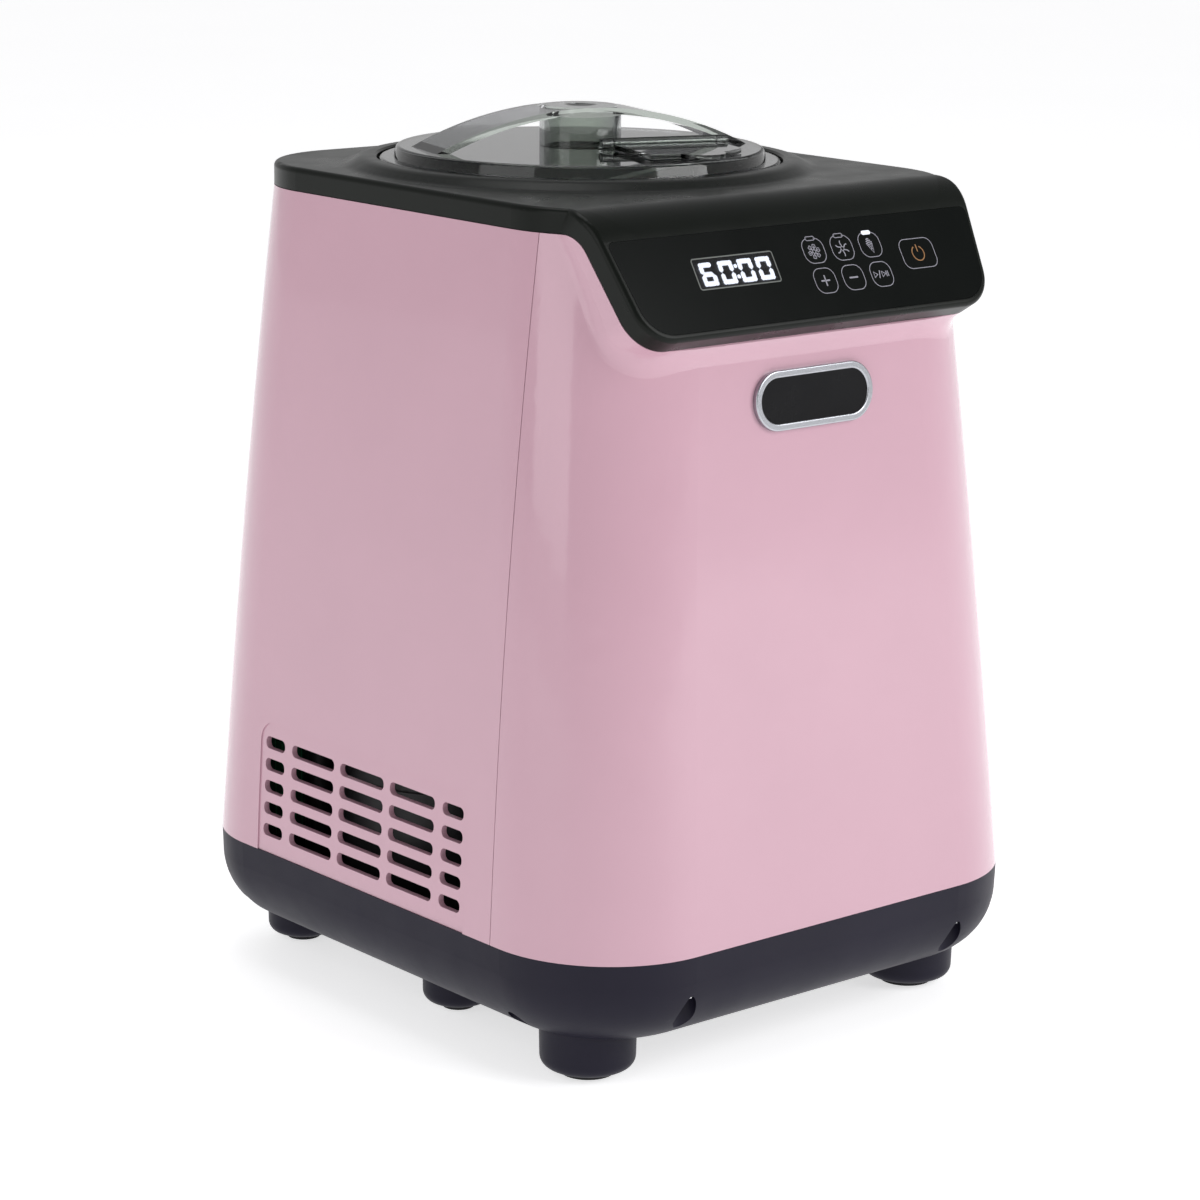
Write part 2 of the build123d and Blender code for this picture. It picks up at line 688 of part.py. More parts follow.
def draw_digit(x, y, segments):
    """The lit bars of one seven-segment digit round this middle."""
    half_width = (DIGIT_WIDTH - DIGIT_STROKE) / 2
    half_height = (DIGIT_HEIGHT - DIGIT_STROKE) / 2
    across = (DIGIT_WIDTH - DIGIT_STROKE, DIGIT_STROKE)
    upright = (DIGIT_STROKE, half_height)
    bars = {
        "top": ((x, y + half_height), across),
        "middle": ((x, y), across),
        "bottom": ((x, y - half_height), across),
        "upper left": ((x - half_width, y + half_height / 2), upright),
        "upper right": ((x + half_width, y + half_height / 2), upright),
        "lower left": ((x - half_width, y - half_height / 2), upright),
        "lower right": ((x + half_width, y - half_height / 2), upright),
    }
    for name in segments:
        middle, size = bars[name]
        with Locations(middle):
            Rectangle(*size)


SIX = ("top", "middle", "bottom", "upper left", "lower left", "lower right")
ZERO = ("top", "bottom", "upper left", "upper right", "lower left", "lower right")
with BuildPart() as display_digits:
    with BuildSketch(face_plane(PANEL_THICK)):
        for step, segments in zip(DIGIT_STEPS, (SIX, ZERO, ZERO, ZERO)):
            draw_digit(WINDOW_CENTRE[0] + step, WINDOW_CENTRE[1], segments)
        for rise in (-1.7, 1.7):
            with Locations((WINDOW_CENTRE[0], WINDOW_CENTRE[1] + rise)):
                Rectangle(DIGIT_STROKE, DIGIT_STROKE)
    extrude(amount=0.4)
display_digits.part.label = "display_digits"
export_step(display_digits.part, "parts/display_digits.step")

with BuildPart() as display_module:
    add(face_block(WINDOW_CENTRE, WINDOW_SIZE, PANEL_THICK, BOARD_DEPTH))
display_module.part.label = "display_module"
export_step(display_module.part, "parts/display_module.step")

with BuildPart() as control_board:
    add(face_block((0, -2), BOARD_SIZE, BOARD_DEPTH, BOARD_DEPTH + 1.6))
    add(face_block((20, -2), (12, 12), BOARD_DEPTH + 1.6, BOARD_DEPTH + 3.2))
    add(face_block((-50, -8), (16, 6), BOARD_DEPTH + 1.6, BOARD_DEPTH + 7.6))
control_board.part.label = "control_board"
export_step(control_board.part, "parts/control_board.step")

with BuildPart() as touch_springs:
    add(face_pegs((*KEY_PLACES, POWER_KEY), 3.4, 2.2, WALL, BOARD_DEPTH))
touch_springs.part.label = "touch_springs"
export_step(touch_springs.part, "parts/touch_springs.step")

# The badge stands on the leaning front of the case
BADGE_LEAN = (CASE_LEVELS[-1][2] - CASE_LEVELS[0][2]) / (CASE_TOP_Z - SEAM_Z)
BADGE_PLANE = Plane(
    origin=(0, CASE_LEVELS[0][2] + BADGE_LEAN * (BADGE_Z - SEAM_Z), BADGE_Z),
    x_dir=(1, 0, 0), z_dir=(0, -1, BADGE_LEAN),
)
BADGE_INNER = (BADGE_SIZE[0] - 2 * BADGE_RIM, BADGE_SIZE[1] - 2 * BADGE_RIM)
with BuildPart() as badge_rim:
    with BuildSketch(BADGE_PLANE):
        SlotOverall(*BADGE_SIZE)
        SlotOverall(*BADGE_INNER, mode=Mode.SUBTRACT)
    extrude(amount=BADGE_THICK)
    fillet(badge_rim.faces().sort_by(Axis(BADGE_PLANE.origin, BADGE_PLANE.z_dir))[-1].edges(), 0.6)
badge_rim.part.label = "badge_rim"
export_step(badge_rim.part, "parts/badge_rim.step")

with BuildPart() as badge_plate:
    with BuildSketch(BADGE_PLANE):
        SlotOverall(*BADGE_INNER)
    extrude(amount=BADGE_THICK - 0.6)
badge_plate.part.label = "badge_plate"
export_step(badge_plate.part, "parts/badge_plate.step")


# ---------------------------------------------------------------- lid, flap and seal
TURN = radians(HANDLE_DEG)
HANDLE_WAY = (cos(TURN), sin(TURN), 0)


def lid_plane(height):
    """Level plane on the well's axis, turned to the handle's direction."""
    return Plane(origin=(0, WELL_Y, height), x_dir=HANDLE_WAY, z_dir=(0, 0, 1))


def lid_box(low, high):
    """A box between opposite corners, in the handle's own directions."""
    with BuildPart(mode=Mode.PRIVATE) as body:
        with BuildSketch(lid_plane(low[2])):
            with Locations(((low[0] + high[0]) / 2, (low[1] + high[1]) / 2)):
                Rectangle(high[0] - low[0], high[1] - low[1])
        extrude(amount=high[2] - low[2])
    return body.part


def hinge_rod(radius, low_x, high_x):
    """A round rod along the flap's hinge line."""
    start = lid_plane(PIN_Z).from_local_coords((low_x, PIN_Y, 0))
    with BuildPart(mode=Mode.PRIVATE) as body:
        with BuildSketch(Plane(origin=start, x_dir=(0, 0, 1), z_dir=HANDLE_WAY)):
            Circle(radius)
        extrude(amount=high_x - low_x)
    return body.part


def handle_space(drop, half_width, base_z):
    """The space under the handle's arch, with the arch lowered by drop."""
    centre_z = HANDLE_TOP_Z - HANDLE_RADIUS
    reach = sqrt((HANDLE_RADIUS - drop) ** 2 - (base_z - centre_z) ** 2)
    section = Plane(origin=(0, WELL_Y, 0), x_dir=HANDLE_WAY, z_dir=(sin(TURN), -cos(TURN), 0))
    with BuildPart(mode=Mode.PRIVATE) as body:
        with BuildSketch(section):
            with BuildLine():
                ThreePointArc((-reach, base_z), (0, HANDLE_TOP_Z - drop), (reach, base_z))
                Line((reach, base_z), (-reach, base_z))
            make_face()
        extrude(amount=half_width, both=True)
    return body.part


EAR_SPANS = (
    (FLAP_LOW[0] - FLAP_GAP - EAR_WIDTH, FLAP_LOW[0] - FLAP_GAP),
    (FLAP_HIGH[0] + FLAP_GAP, FLAP_HIGH[0] + FLAP_GAP + EAR_WIDTH),
)


def is_lid_corner(edge):
    """True for the rounded outer edges of the lid's raised disc and of its rim."""
    radius = edge.radius if edge.geom_type == GeomType.CIRCLE else 0
    height = edge.center().Z
    on_disc = abs(radius - DISC_RADIUS) < 0.01 and abs(height - DISC_TOP_Z) < 0.01
    on_rim = abs(radius - LID_RADIUS) < 0.01 and abs(height - LID_TOP_Z) < 0.01
    return on_disc or on_rim


with BuildPart() as lid:
    with BuildSketch(Plane.XZ.offset(-WELL_Y)):
        with BuildLine():
            Polyline(
                (0, DISC_TOP_Z), (DISC_RADIUS, DISC_TOP_Z), (DISC_RADIUS + 1.2, LID_TOP_Z),
                (LID_RADIUS, LID_TOP_Z), (LID_RADIUS, LID_TOP_Z - LID_WALL),
                (LIP_RADIUS, LID_TOP_Z - LID_WALL), (LIP_RADIUS, LIP_LOW_Z),
                (LIP_RADIUS - 1.7, LIP_LOW_Z), (LIP_RADIUS - 1.7, DISC_TOP_Z - LID_WALL),
                (0, DISC_TOP_Z - LID_WALL), (0, DISC_TOP_Z),
            )
        make_face()
    revolve(axis=Axis((0, WELL_Y, 0), (0, 0, 1)))
    fillet(lid.edges().filter_by(is_lid_corner), 1.4)
    add(handle_space(0.0, HANDLE_WIDTH / 2, DISC_TOP_Z - 0.5))
    add(handle_space(HANDLE_THICK, HANDLE_WIDTH, DISC_TOP_Z), mode=Mode.SUBTRACT)
    add(ring(HUB_RADIUS, 0, DISC_TOP_Z - 0.5, HANDLE_TOP_Z - 1.6))
    add(ring(HUB_RADIUS - 1.6, 0, HANDLE_TOP_Z - 2.0, HANDLE_TOP_Z))
    add(ring(HUB_RADIUS - 1.8, 0, LIP_LOW_Z, HANDLE_TOP_Z - 3.6), mode=Mode.SUBTRACT)
    with Locations((0, WELL_Y, HANDLE_TOP_Z + 24.6)):
        Sphere(25.4, mode=Mode.SUBTRACT)
    opening = lid_box((*OPENING_LOW, LIP_LOW_Z), (*OPENING_HIGH, DISC_TOP_Z + 1))
    add(opening.intersect(ring(OPENING_REACH, 0, LIP_LOW_Z, DISC_TOP_Z + 1)), mode=Mode.SUBTRACT)
    for low_x, high_x in EAR_SPANS:
        ear_low = (low_x, PIN_Y - KNUCKLE_RADIUS, DISC_TOP_Z - 0.5)
        add(lid_box(ear_low, (high_x, PIN_Y + KNUCKLE_RADIUS, PIN_Z)))
        add(hinge_rod(KNUCKLE_RADIUS, low_x, high_x))
        add(hinge_rod(PIN_RADIUS, low_x, high_x), mode=Mode.SUBTRACT)
lid.part.label = "lid"
export_step(lid.part, "parts/lid.step")

with BuildPart() as ingredient_flap:
    add(lid_box((*FLAP_LOW, DISC_TOP_Z + FLAP_GAP), (*FLAP_HIGH, DISC_TOP_Z + FLAP_GAP + FLAP_THICK)))
    add(ring(FLAP_REACH, 0, DISC_TOP_Z, DISC_TOP_Z + 5), mode=Mode.INTERSECT)
    with BuildSketch(lid_plane(DISC_TOP_Z + FLAP_GAP)):
        with Locations(((FLAP_LOW[0] + FLAP_HIGH[0]) / 2, FLAP_LOW[1] + 1.5)):
            Circle(TAB_RADIUS)
    extrude(amount=FLAP_THICK)
    add(hinge_rod(KNUCKLE_RADIUS, FLAP_LOW[0], FLAP_HIGH[0]))
    add(hinge_rod(PIN_RADIUS + SHAFT_PLAY, FLAP_LOW[0], FLAP_HIGH[0]), mode=Mode.SUBTRACT)
ingredient_flap.part.label = "ingredient_flap"
export_step(ingredient_flap.part, "parts/ingredient_flap.step")

with BuildPart() as flap_pin:
    add(hinge_rod(PIN_RADIUS, EAR_SPANS[0][0], EAR_SPANS[1][1]))
flap_pin.part.label = "flap_pin"
export_step(flap_pin.part, "parts/flap_pin.step")

with BuildPart() as lid_seal:
    add(ring(LIP_RADIUS + 5.8, LIP_RADIUS + 0.3, BOWL_RIM_Z + 0.1, LID_TOP_Z - LID_WALL - 0.1))
    fillet(lid_seal.edges().filter_by(GeomType.CIRCLE), 0.6)
lid_seal.part.label = "lid_seal"
export_step(lid_seal.part, "parts/lid_seal.step")


# ---------------------------------------------------------------- bowl and paddle
def is_bowl_corner(edge):
    """True for the two round corners at the foot of the bowl's wall."""
    radius = edge.radius if edge.geom_type == GeomType.CIRCLE else 0
    return radius > BOWL_RADIUS - BOWL_WALL - 0.01 and edge.center().Z < BOWL_FLOOR_Z + BOWL_WALL + 0.01


with BuildPart() as ice_cream_bowl:
    with BuildSketch(Plane.XZ.offset(-WELL_Y)):
        with BuildLine():
            Polyline(
                (TUBE_RADIUS - TUBE_WALL, BOWL_FLOOR_Z), (BOWL_RADIUS, BOWL_FLOOR_Z),
                (BOWL_RADIUS, BOWL_RIM_LOW_Z), (BOWL_RIM_RADIUS, BOWL_RIM_LOW_Z),
                (BOWL_RIM_RADIUS, BOWL_RIM_Z), (BOWL_RADIUS - BOWL_WALL, BOWL_RIM_Z),
                (BOWL_RADIUS - BOWL_WALL, BOWL_FLOOR_Z + BOWL_WALL),
                (TUBE_RADIUS, BOWL_FLOOR_Z + BOWL_WALL), (TUBE_RADIUS, TUBE_TOP_Z),
                (TUBE_RADIUS - TUBE_WALL, TUBE_TOP_Z), (TUBE_RADIUS - TUBE_WALL, BOWL_FLOOR_Z),
            )
        make_face()
    revolve(axis=Axis((0, WELL_Y, 0), (0, 0, 1)))
    fillet(ice_cream_bowl.edges().filter_by(is_bowl_corner), 4.0)
ice_cream_bowl.part.label = "ice_cream_bowl"
export_step(ice_cream_bowl.part, "parts/ice_cream_bowl.step")


def shaft_end(gap, low, high):
    """The shaft's D-shaped upper end, or its socket when it is grown by gap."""
    with BuildPart(mode=Mode.PRIVATE) as end:
        with BuildSketch(Plane((0, WELL_Y, low))):
            Circle(SHAFT_RADIUS + gap)
            with Locations((0, SHAFT_FLAT + gap + SHAFT_RADIUS)):
                Rectangle(4 * SHAFT_RADIUS, 2 * SHAFT_RADIUS, mode=Mode.SUBTRACT)
        extrude(amount=high - low)
    return end.part


PADDLE_HUB = TUBE_RADIUS + 3.0
window_high = (PADDLE_TOP_Z - PADDLE_LOW_Z - (PADDLE_ROWS + 1) * PADDLE_BAR) / PADDLE_ROWS
window_wide = (PADDLE_REACH - PADDLE_HUB - (PADDLE_COLUMNS + 1) * PADDLE_BAR) / PADDLE_COLUMNS
with BuildPart() as mixing_paddle:
    with BuildSketch(Plane.XZ.offset(-WELL_Y)):
        with Locations((0, (PADDLE_LOW_Z + PADDLE_TOP_Z) / 2)):
            RectangleRounded(2 * PADDLE_REACH, PADDLE_TOP_Z - PADDLE_LOW_Z, 7.0)
        for row in range(PADDLE_ROWS):
            window_z = PADDLE_LOW_Z + PADDLE_BAR + window_high / 2 + row * (window_high + PADDLE_BAR)
            for column in range(PADDLE_COLUMNS):
                window_x = PADDLE_HUB + PADDLE_BAR + window_wide / 2 + column * (window_wide + PADDLE_BAR)
                with Locations((-window_x, window_z), (window_x, window_z)):
                    RectangleRounded(window_wide, window_high, 4.0, mode=Mode.SUBTRACT)
    extrude(amount=PADDLE_THICK / 2, both=True)
    add(ring(PADDLE_HUB, 0, PADDLE_LOW_Z, PADDLE_TOP_Z))
    add(ring(TUBE_RADIUS + 0.6, 0, PADDLE_LOW_Z - 1, TUBE_TOP_Z + 1.0), mode=Mode.SUBTRACT)
    add(shaft_end(SHAFT_PLAY, TUBE_TOP_Z, SHAFT_TOP_Z + 1.0), mode=Mode.SUBTRACT)
mixing_paddle.part.label = "mixing_paddle"
export_step(mixing_paddle.part, "parts/mixing_paddle.step")


# ---------------------------------------------------------------- cooling pot, coil and insulation
POT_INNER = BOWL_RADIUS + POT_GAP
POT_OUTER = POT_INNER + POT_WALL
POT_HUB_Z = POT_FLOOR_Z - 8.0
with BuildPart() as cooling_pot:
    add(ring(POT_OUTER, 0, POT_FLOOR_Z, POT_TOP_Z))
    add(ring(POT_FLANGE_RADIUS, 0, POT_TOP_Z - POT_WALL, POT_TOP_Z))
    add(ring(SEAL_RADIUS + 3, 0, POT_HUB_Z, POT_FLOOR_Z))
    add(ring(POT_INNER, 0, POT_FLOOR_Z + POT_WALL, POT_TOP_Z + 1), mode=Mode.SUBTRACT)
    add(ring(SEAL_RADIUS, 0, POT_HUB_Z - 1, POT_TOP_Z), mode=Mode.SUBTRACT)
cooling_pot.part.label = "cooling_pot"
export_step(cooling_pot.part, "parts/cooling_pot.step")

with BuildPart() as shaft_seal:
    add(ring(SEAL_RADIUS, SHAFT_RADIUS + SHAFT_PLAY, POT_HUB_Z, POT_FLOOR_Z + POT_WALL))
shaft_seal.part.label = "shaft_seal"
export_step(shaft_seal.part, "parts/shaft_seal.step")

with BuildPart() as well_gasket:
    add(ring(POT_FLANGE_RADIUS - 1, POT_INNER + 0.4, POT_TOP_Z, BOWL_RIM_LOW_Z))
well_gasket.part.label = "well_gasket"
export_step(well_gasket.part, "parts/well_gasket.step")

COIL_RADIUS = POT_OUTER + COIL_TUBE + 0.3
COIL_TOP_Z = COIL_LOW_Z + (COIL_TURNS - 1) * COIL_PITCH


def coil_spot(angle_deg, radius=COIL_RADIUS):
    """Plan place at this radius from the well's axis; the back of the machine is at 90 degrees."""
    angle = radians(angle_deg)
    return (radius * cos(angle), WELL_Y + radius * sin(angle))


INLET_TAIL = coil_spot(90 - TAIL_DEG)
OUTLET_TAIL = coil_spot(90 + TAIL_DEG, COIL_RADIUS + TAIL_STEP)


def tube_run(points, radius, bend=PIPE_BEND):
    """A round tube along straight runs with rounded corners."""
    with BuildPart(mode=Mode.PRIVATE) as tube:
        with BuildLine() as path:
            if len(points) > 2:
                FilletPolyline(*points, radius=bend)
            else:
                Polyline(*points)
        with BuildSketch(Plane(origin=path.line @ 0, z_dir=path.line % 0)):
            Circle(radius)
        sweep(path=path.line)
    return tube.part


COIL_END = coil_spot(90 + TAIL_DEG)


def coil_turn(height, turn_deg):
    """A level stretch of the coil, clockwise from above the inlet tail."""
    start = radians(90 - TAIL_DEG)
    with BuildPart(mode=Mode.PRIVATE) as body:
        with BuildSketch(Plane(
            origin=(*INLET_TAIL, height), x_dir=(cos(start), sin(start), 0), z_dir=(-sin(start), cos(start), 0),
        )):
            Circle(COIL_TUBE)
        revolve(axis=Axis((0, WELL_Y, 0), (0, 0, -1)), revolution_arc=turn_deg)
    return body.part


# Level turns, each joined to the next by a short step, with both tails at the back
with BuildPart() as evaporator_coil:
    add(ring(COIL_TUBE, 0, TAIL_LOW_Z, COIL_LOW_Z, INLET_TAIL))
    add(coil_turn(COIL_TOP_Z, 360 - 2 * TAIL_DEG))
    step_end = coil_spot(90 - TAIL_DEG + STEP_DEG)
    for turn in range(COIL_TURNS - 1):
        height = COIL_LOW_Z + turn * COIL_PITCH
        add(coil_turn(height, 360 - STEP_DEG))
        add(tube_run(((*step_end, height), (*INLET_TAIL, height + COIL_PITCH)), COIL_TUBE))
        with Locations((*step_end, height), (*INLET_TAIL, height)):
            Sphere(COIL_TUBE + COIL_JOINT)
    with Locations((*INLET_TAIL, COIL_TOP_Z), (*COIL_END, COIL_TOP_Z)):
        Sphere(COIL_TUBE + COIL_JOINT)
    outlet_run = ((*COIL_END, COIL_TOP_Z), (*OUTLET_TAIL, COIL_TOP_Z), (*OUTLET_TAIL, TAIL_LOW_Z))
    add(tube_run(outlet_run, COIL_TUBE, 4.0))
evaporator_coil.part.label = "evaporator_coil"
export_step(evaporator_coil.part, "parts/evaporator_coil.step")

with BuildPart() as insulation:
    add(ring(FOAM_RADIUS, 0, FOAM_FLOOR_Z, POT_TOP_Z - POT_WALL))
    add(ring(COIL_RADIUS + COIL_TUBE + 0.3, 0, POT_FLOOR_Z, POT_TOP_Z + 1), mode=Mode.SUBTRACT)
    add(ring(SEAL_RADIUS + 3, 0, FOAM_FLOOR_Z - 1, POT_FLOOR_Z + 1), mode=Mode.SUBTRACT)
    add(ring(COIL_TUBE + 0.5, 0, FOAM_FLOOR_Z - 1, POT_FLOOR_Z + 1, INLET_TAIL), mode=Mode.SUBTRACT)
    add(ring(COIL_TUBE + 0.5, 0, FOAM_FLOOR_Z - 1, COIL_TOP_Z + 5, OUTLET_TAIL), mode=Mode.SUBTRACT)
    notch = box_between(
        (OUTLET_TAIL[0] - 5, 85, COIL_TOP_Z - 5), (OUTLET_TAIL[0] + 9, OUTLET_TAIL[1] + 2, COIL_TOP_Z + 5),
    )
    add(notch, mode=Mode.SUBTRACT)
insulation.part.label = "insulation"
export_step(insulation.part, "parts/insulation.step")


# ---------------------------------------------------------------- drive train
def off_axis(place, distance, angle_deg):
    """A plan place this far from another, in this direction."""
    angle = radians(angle_deg)
    return (place[0] + distance * cos(angle), place[1] + distance * sin(angle))


SHAFT_PLACE = (0.0, WELL_Y)
IDLER_PLACE = off_axis(SHAFT_PLACE, OUTPUT_MODULE * (OUTPUT_TEETH + SMALL_TEETH) / 2, IDLER_DEG)
PINION_PLACE = off_axis(IDLER_PLACE, LARGE_MODULE * (LARGE_TEETH + PINION_TEETH) / 2, PINION_DEG)
BOX_FLOOR_Z = GEARBOX_LOW[2] + GEARBOX_WALL
BOX_TOP_Z = GEARBOX_HIGH[2]
DECK_LOW_Z = DECK_PLATE_Z[0]

with BuildPart() as drive_shaft:
    add(ring(SHAFT_RADIUS, 0, BOX_FLOOR_Z + 1, TUBE_TOP_Z))
    add(shaft_end(0.0, TUBE_TOP_Z, SHAFT_TOP_Z))
drive_shaft.part.label = "drive_shaft"
export_step(drive_shaft.part, "parts/drive_shaft.step")

with BuildPart() as output_gear:
    low, high = OUTPUT_GEAR_Z
    add(gear(OUTPUT_MODULE, OUTPUT_TEETH, low, high - low, 0, SHAFT_PLACE, IDLER_DEG))
    add(ring(SHAFT_RADIUS + 4, 0, high, high + 3))
    add(ring(SHAFT_RADIUS, 0, 0, 200), mode=Mode.SUBTRACT)
output_gear.part.label = "output_gear"
export_step(output_gear.part, "parts/output_gear.step")

with BuildPart() as idler_gear:
    low, high = LARGE_GEAR_Z
    small_turn = IDLER_DEG + 180 + 180 / SMALL_TEETH
    add(gear(LARGE_MODULE, LARGE_TEETH, low, high - low, 0, IDLER_PLACE, PINION_DEG))
    add(gear(OUTPUT_MODULE, SMALL_TEETH, high, IDLER_TOP_Z - high, 0, IDLER_PLACE, small_turn))
    add(ring(AXLE_RADIUS + SHAFT_PLAY, 0, 0, 200, IDLER_PLACE), mode=Mode.SUBTRACT)
idler_gear.part.label = "idler_gear"
export_step(idler_gear.part, "parts/idler_gear.step")

with BuildPart() as idler_axle:
    add(ring(AXLE_RADIUS, 0, BOX_FLOOR_Z, BOX_TOP_Z, IDLER_PLACE))
idler_axle.part.label = "idler_axle"
export_step(idler_axle.part, "parts/idler_axle.step")

with BuildPart() as motor_pinion:
    low, high = LARGE_GEAR_Z
    pinion_turn = PINION_DEG + 180 + 180 / PINION_TEETH
    add(gear(LARGE_MODULE, PINION_TEETH, low - 1, high - low + 2, 0, PINION_PLACE, pinion_turn))
    add(ring(ROTOR_RADIUS, 0, GEARBOX_LOW[2] - 20, low, PINION_PLACE))
motor_pinion.part.label = "motor_pinion"
export_step(motor_pinion.part, "parts/motor_pinion.step")

with BuildPart() as mixing_motor:
    add(ring(MOTOR_RADIUS, 0, MOTOR_LOW_Z, GEARBOX_LOW[2], PINION_PLACE))
    fillet(mixing_motor.faces().sort_by(Axis.Z)[0].edges(), 3.0)
    add(ring(ROTOR_RADIUS + SHAFT_PLAY, 0, GEARBOX_LOW[2] - 20.5, GEARBOX_LOW[2] + 1, PINION_PLACE),
        mode=Mode.SUBTRACT)
mixing_motor.part.label = "mixing_motor"
export_step(mixing_motor.part, "parts/mixing_motor.step")

SCREW_INSET = 6.0
GEARBOX_SCREWS = [
    (x, y) for x in (GEARBOX_LOW[0] + SCREW_INSET, GEARBOX_HIGH[0] - SCREW_INSET)
    for y in (GEARBOX_LOW[1] + SCREW_INSET, GEARBOX_HIGH[1] - SCREW_INSET)
]
with BuildPart() as gearbox_housing:
    add(box_between(GEARBOX_LOW, GEARBOX_HIGH))
    fillet(gearbox_housing.edges().filter_by(Axis.Z), 7.0)
    hollow_low = (GEARBOX_LOW[0] + GEARBOX_WALL, GEARBOX_LOW[1] + GEARBOX_WALL, BOX_FLOOR_Z)
    hollow_high = (GEARBOX_HIGH[0] - GEARBOX_WALL, GEARBOX_HIGH[1] - GEARBOX_WALL, BOX_TOP_Z + 1)
    add(box_between(hollow_low, hollow_high), mode=Mode.SUBTRACT)
    for place in GEARBOX_SCREWS:
        add(ring(3.6, 0, BOX_FLOOR_Z, BOX_TOP_Z, place))
        add(ring(1.5, 0, BOX_TOP_Z - 12, BOX_TOP_Z + 1, place), mode=Mode.SUBTRACT)
    add(ring(ROTOR_RADIUS + 2, 0, 100, BOX_FLOOR_Z + 1, PINION_PLACE), mode=Mode.SUBTRACT)
gearbox_housing.part.label = "gearbox_housing"
export_step(gearbox_housing.part, "parts/gearbox_housing.step")

with BuildPart() as lower_bearing:
    add(ring(SHAFT_RADIUS + 4, 0, BOX_FLOOR_Z, 141.0))
    add(ring(SHAFT_RADIUS + SHAFT_PLAY, 0, BOX_FLOOR_Z + 0.8, 142.0), mode=Mode.SUBTRACT)
lower_bearing.part.label = "lower_bearing"
export_step(lower_bearing.part, "parts/lower_bearing.step")

COVER_FLOOR_Z = BOX_TOP_Z + GEARBOX_WALL
with BuildPart() as gearbox_cover:
    add(box_between((GEARBOX_LOW[0], GEARBOX_LOW[1], BOX_TOP_Z), (*GEARBOX_HIGH[:2], DECK_LOW_Z)))
    fillet(gearbox_cover.edges().filter_by(Axis.Z), 7.0)
    recess_low = (GEARBOX_LOW[0] + 2, GEARBOX_LOW[1] + 2, COVER_FLOOR_Z)
    recess_high = (GEARBOX_HIGH[0] - 2, GEARBOX_HIGH[1] - 2, DECK_LOW_Z + 1)
    add(box_between(recess_low, recess_high), mode=Mode.SUBTRACT)
    add(ring(SHAFT_RADIUS + 6.5, 0, BOX_TOP_Z, DECK_LOW_Z))
    add(ring(SHAFT_RADIUS + 4, 0, BOX_TOP_Z - 1, DECK_LOW_Z + 1), mode=Mode.SUBTRACT)
    for place in GEARBOX_SCREWS:
        add(ring(1.5, 0, BOX_TOP_Z - 1, COVER_FLOOR_Z + 1, place), mode=Mode.SUBTRACT)
gearbox_cover.part.label = "gearbox_cover"
export_step(gearbox_cover.part, "parts/gearbox_cover.step")

with BuildPart() as gearbox_screws:
    for place in GEARBOX_SCREWS:
        add(ring(1.5, 0, BOX_TOP_Z - 10, COVER_FLOOR_Z, place))
        add(ring(2.8, 0, COVER_FLOOR_Z, COVER_FLOOR_Z + 2.0, place))
gearbox_screws.part.label = "gearbox_screws"
export_step(gearbox_screws.part, "parts/gearbox_screws.step")

with BuildPart() as upper_bearing:
    add(ring(SHAFT_RADIUS + 4, SHAFT_RADIUS + SHAFT_PLAY, BOX_TOP_Z, DECK_LOW_Z))
upper_bearing.part.label = "upper_bearing"
export_step(upper_bearing.part, "parts/upper_bearing.step")

with BuildPart() as deck_plate:
    with BuildSketch(Plane.XY.offset(DECK_LOW_Z)):
        with Locations((0, 2.5)):
            RectangleRounded(204.0, 226.0, 42.0)
        with Locations(SHAFT_PLACE):
            Circle(SHAFT_RADIUS + 4, mode=Mode.SUBTRACT)
    extrude(amount=DECK_PLATE_Z[1] - DECK_LOW_Z)
    add(ring(FOAM_RADIUS - 20, FOAM_RADIUS - 24, DECK_PLATE_Z[1], FOAM_FLOOR_Z))
    for tail in (INLET_TAIL, OUTLET_TAIL):
        add(ring(COIL_TUBE + 0.5, 0, DECK_LOW_Z - 1, FOAM_FLOOR_Z + 1, tail), mode=Mode.SUBTRACT)
deck_plate.part.label = "deck_plate"
export_step(deck_plate.part, "parts/deck_plate.step")

FLOOR_TOP_Z = BASE_BOTTOM_Z + WALL
with BuildPart() as deck_posts:
    for place in POST_PLACES:
        add(ring(POST_RADIUS, 0, FLOOR_TOP_Z, DECK_LOW_Z, place))
deck_posts.part.label = "deck_posts"
export_step(deck_posts.part, "parts/deck_posts.step")


# ---------------------------------------------------------------- compressor and condenser
def bolt_places():
    """The compressor's four mounting places, in plan."""
    half = MOUNT_SPACING / 2
    return [(COMPRESSOR_PLACE[0] + x, COMPRESSOR_PLACE[1] + y) for x in (-half, half) for y in (-half, half)]


PLATE_LOW_Z = COMPRESSOR_Z[0] - 3.0
with BuildPart() as compressor:
    low, high = COMPRESSOR_Z
    half = COMPRESSOR_RADIUS - 1.2
    with BuildSketch(Plane(origin=(*COMPRESSOR_PLACE, 0), x_dir=(1, 0, 0), z_dir=(0, -1, 0))):
        Polygon((0, low), (half, low), (half, high), (0, high), align=None)
        fillet(vertices().filter_by(lambda point: point.X > half - 1).group_by(Axis.Y)[0], 14.0)
        fillet(vertices().filter_by(lambda point: point.X > half - 1).group_by(Axis.Y)[-1], 28.0)
    revolve(axis=Axis((*COMPRESSOR_PLACE, 0), (0, 0, 1)))
    add(ring(COMPRESSOR_RADIUS, 0, high - 35, high - 31, COMPRESSOR_PLACE))
    for port in (DISCHARGE_PORT, SUCTION_PORT):
        add(ring(PIPE_RADIUS + 1.5, 0, high - 24, PORT_TOP_Z, port))
compressor.part.label = "compressor"
export_step(compressor.part, "parts/compressor.step")

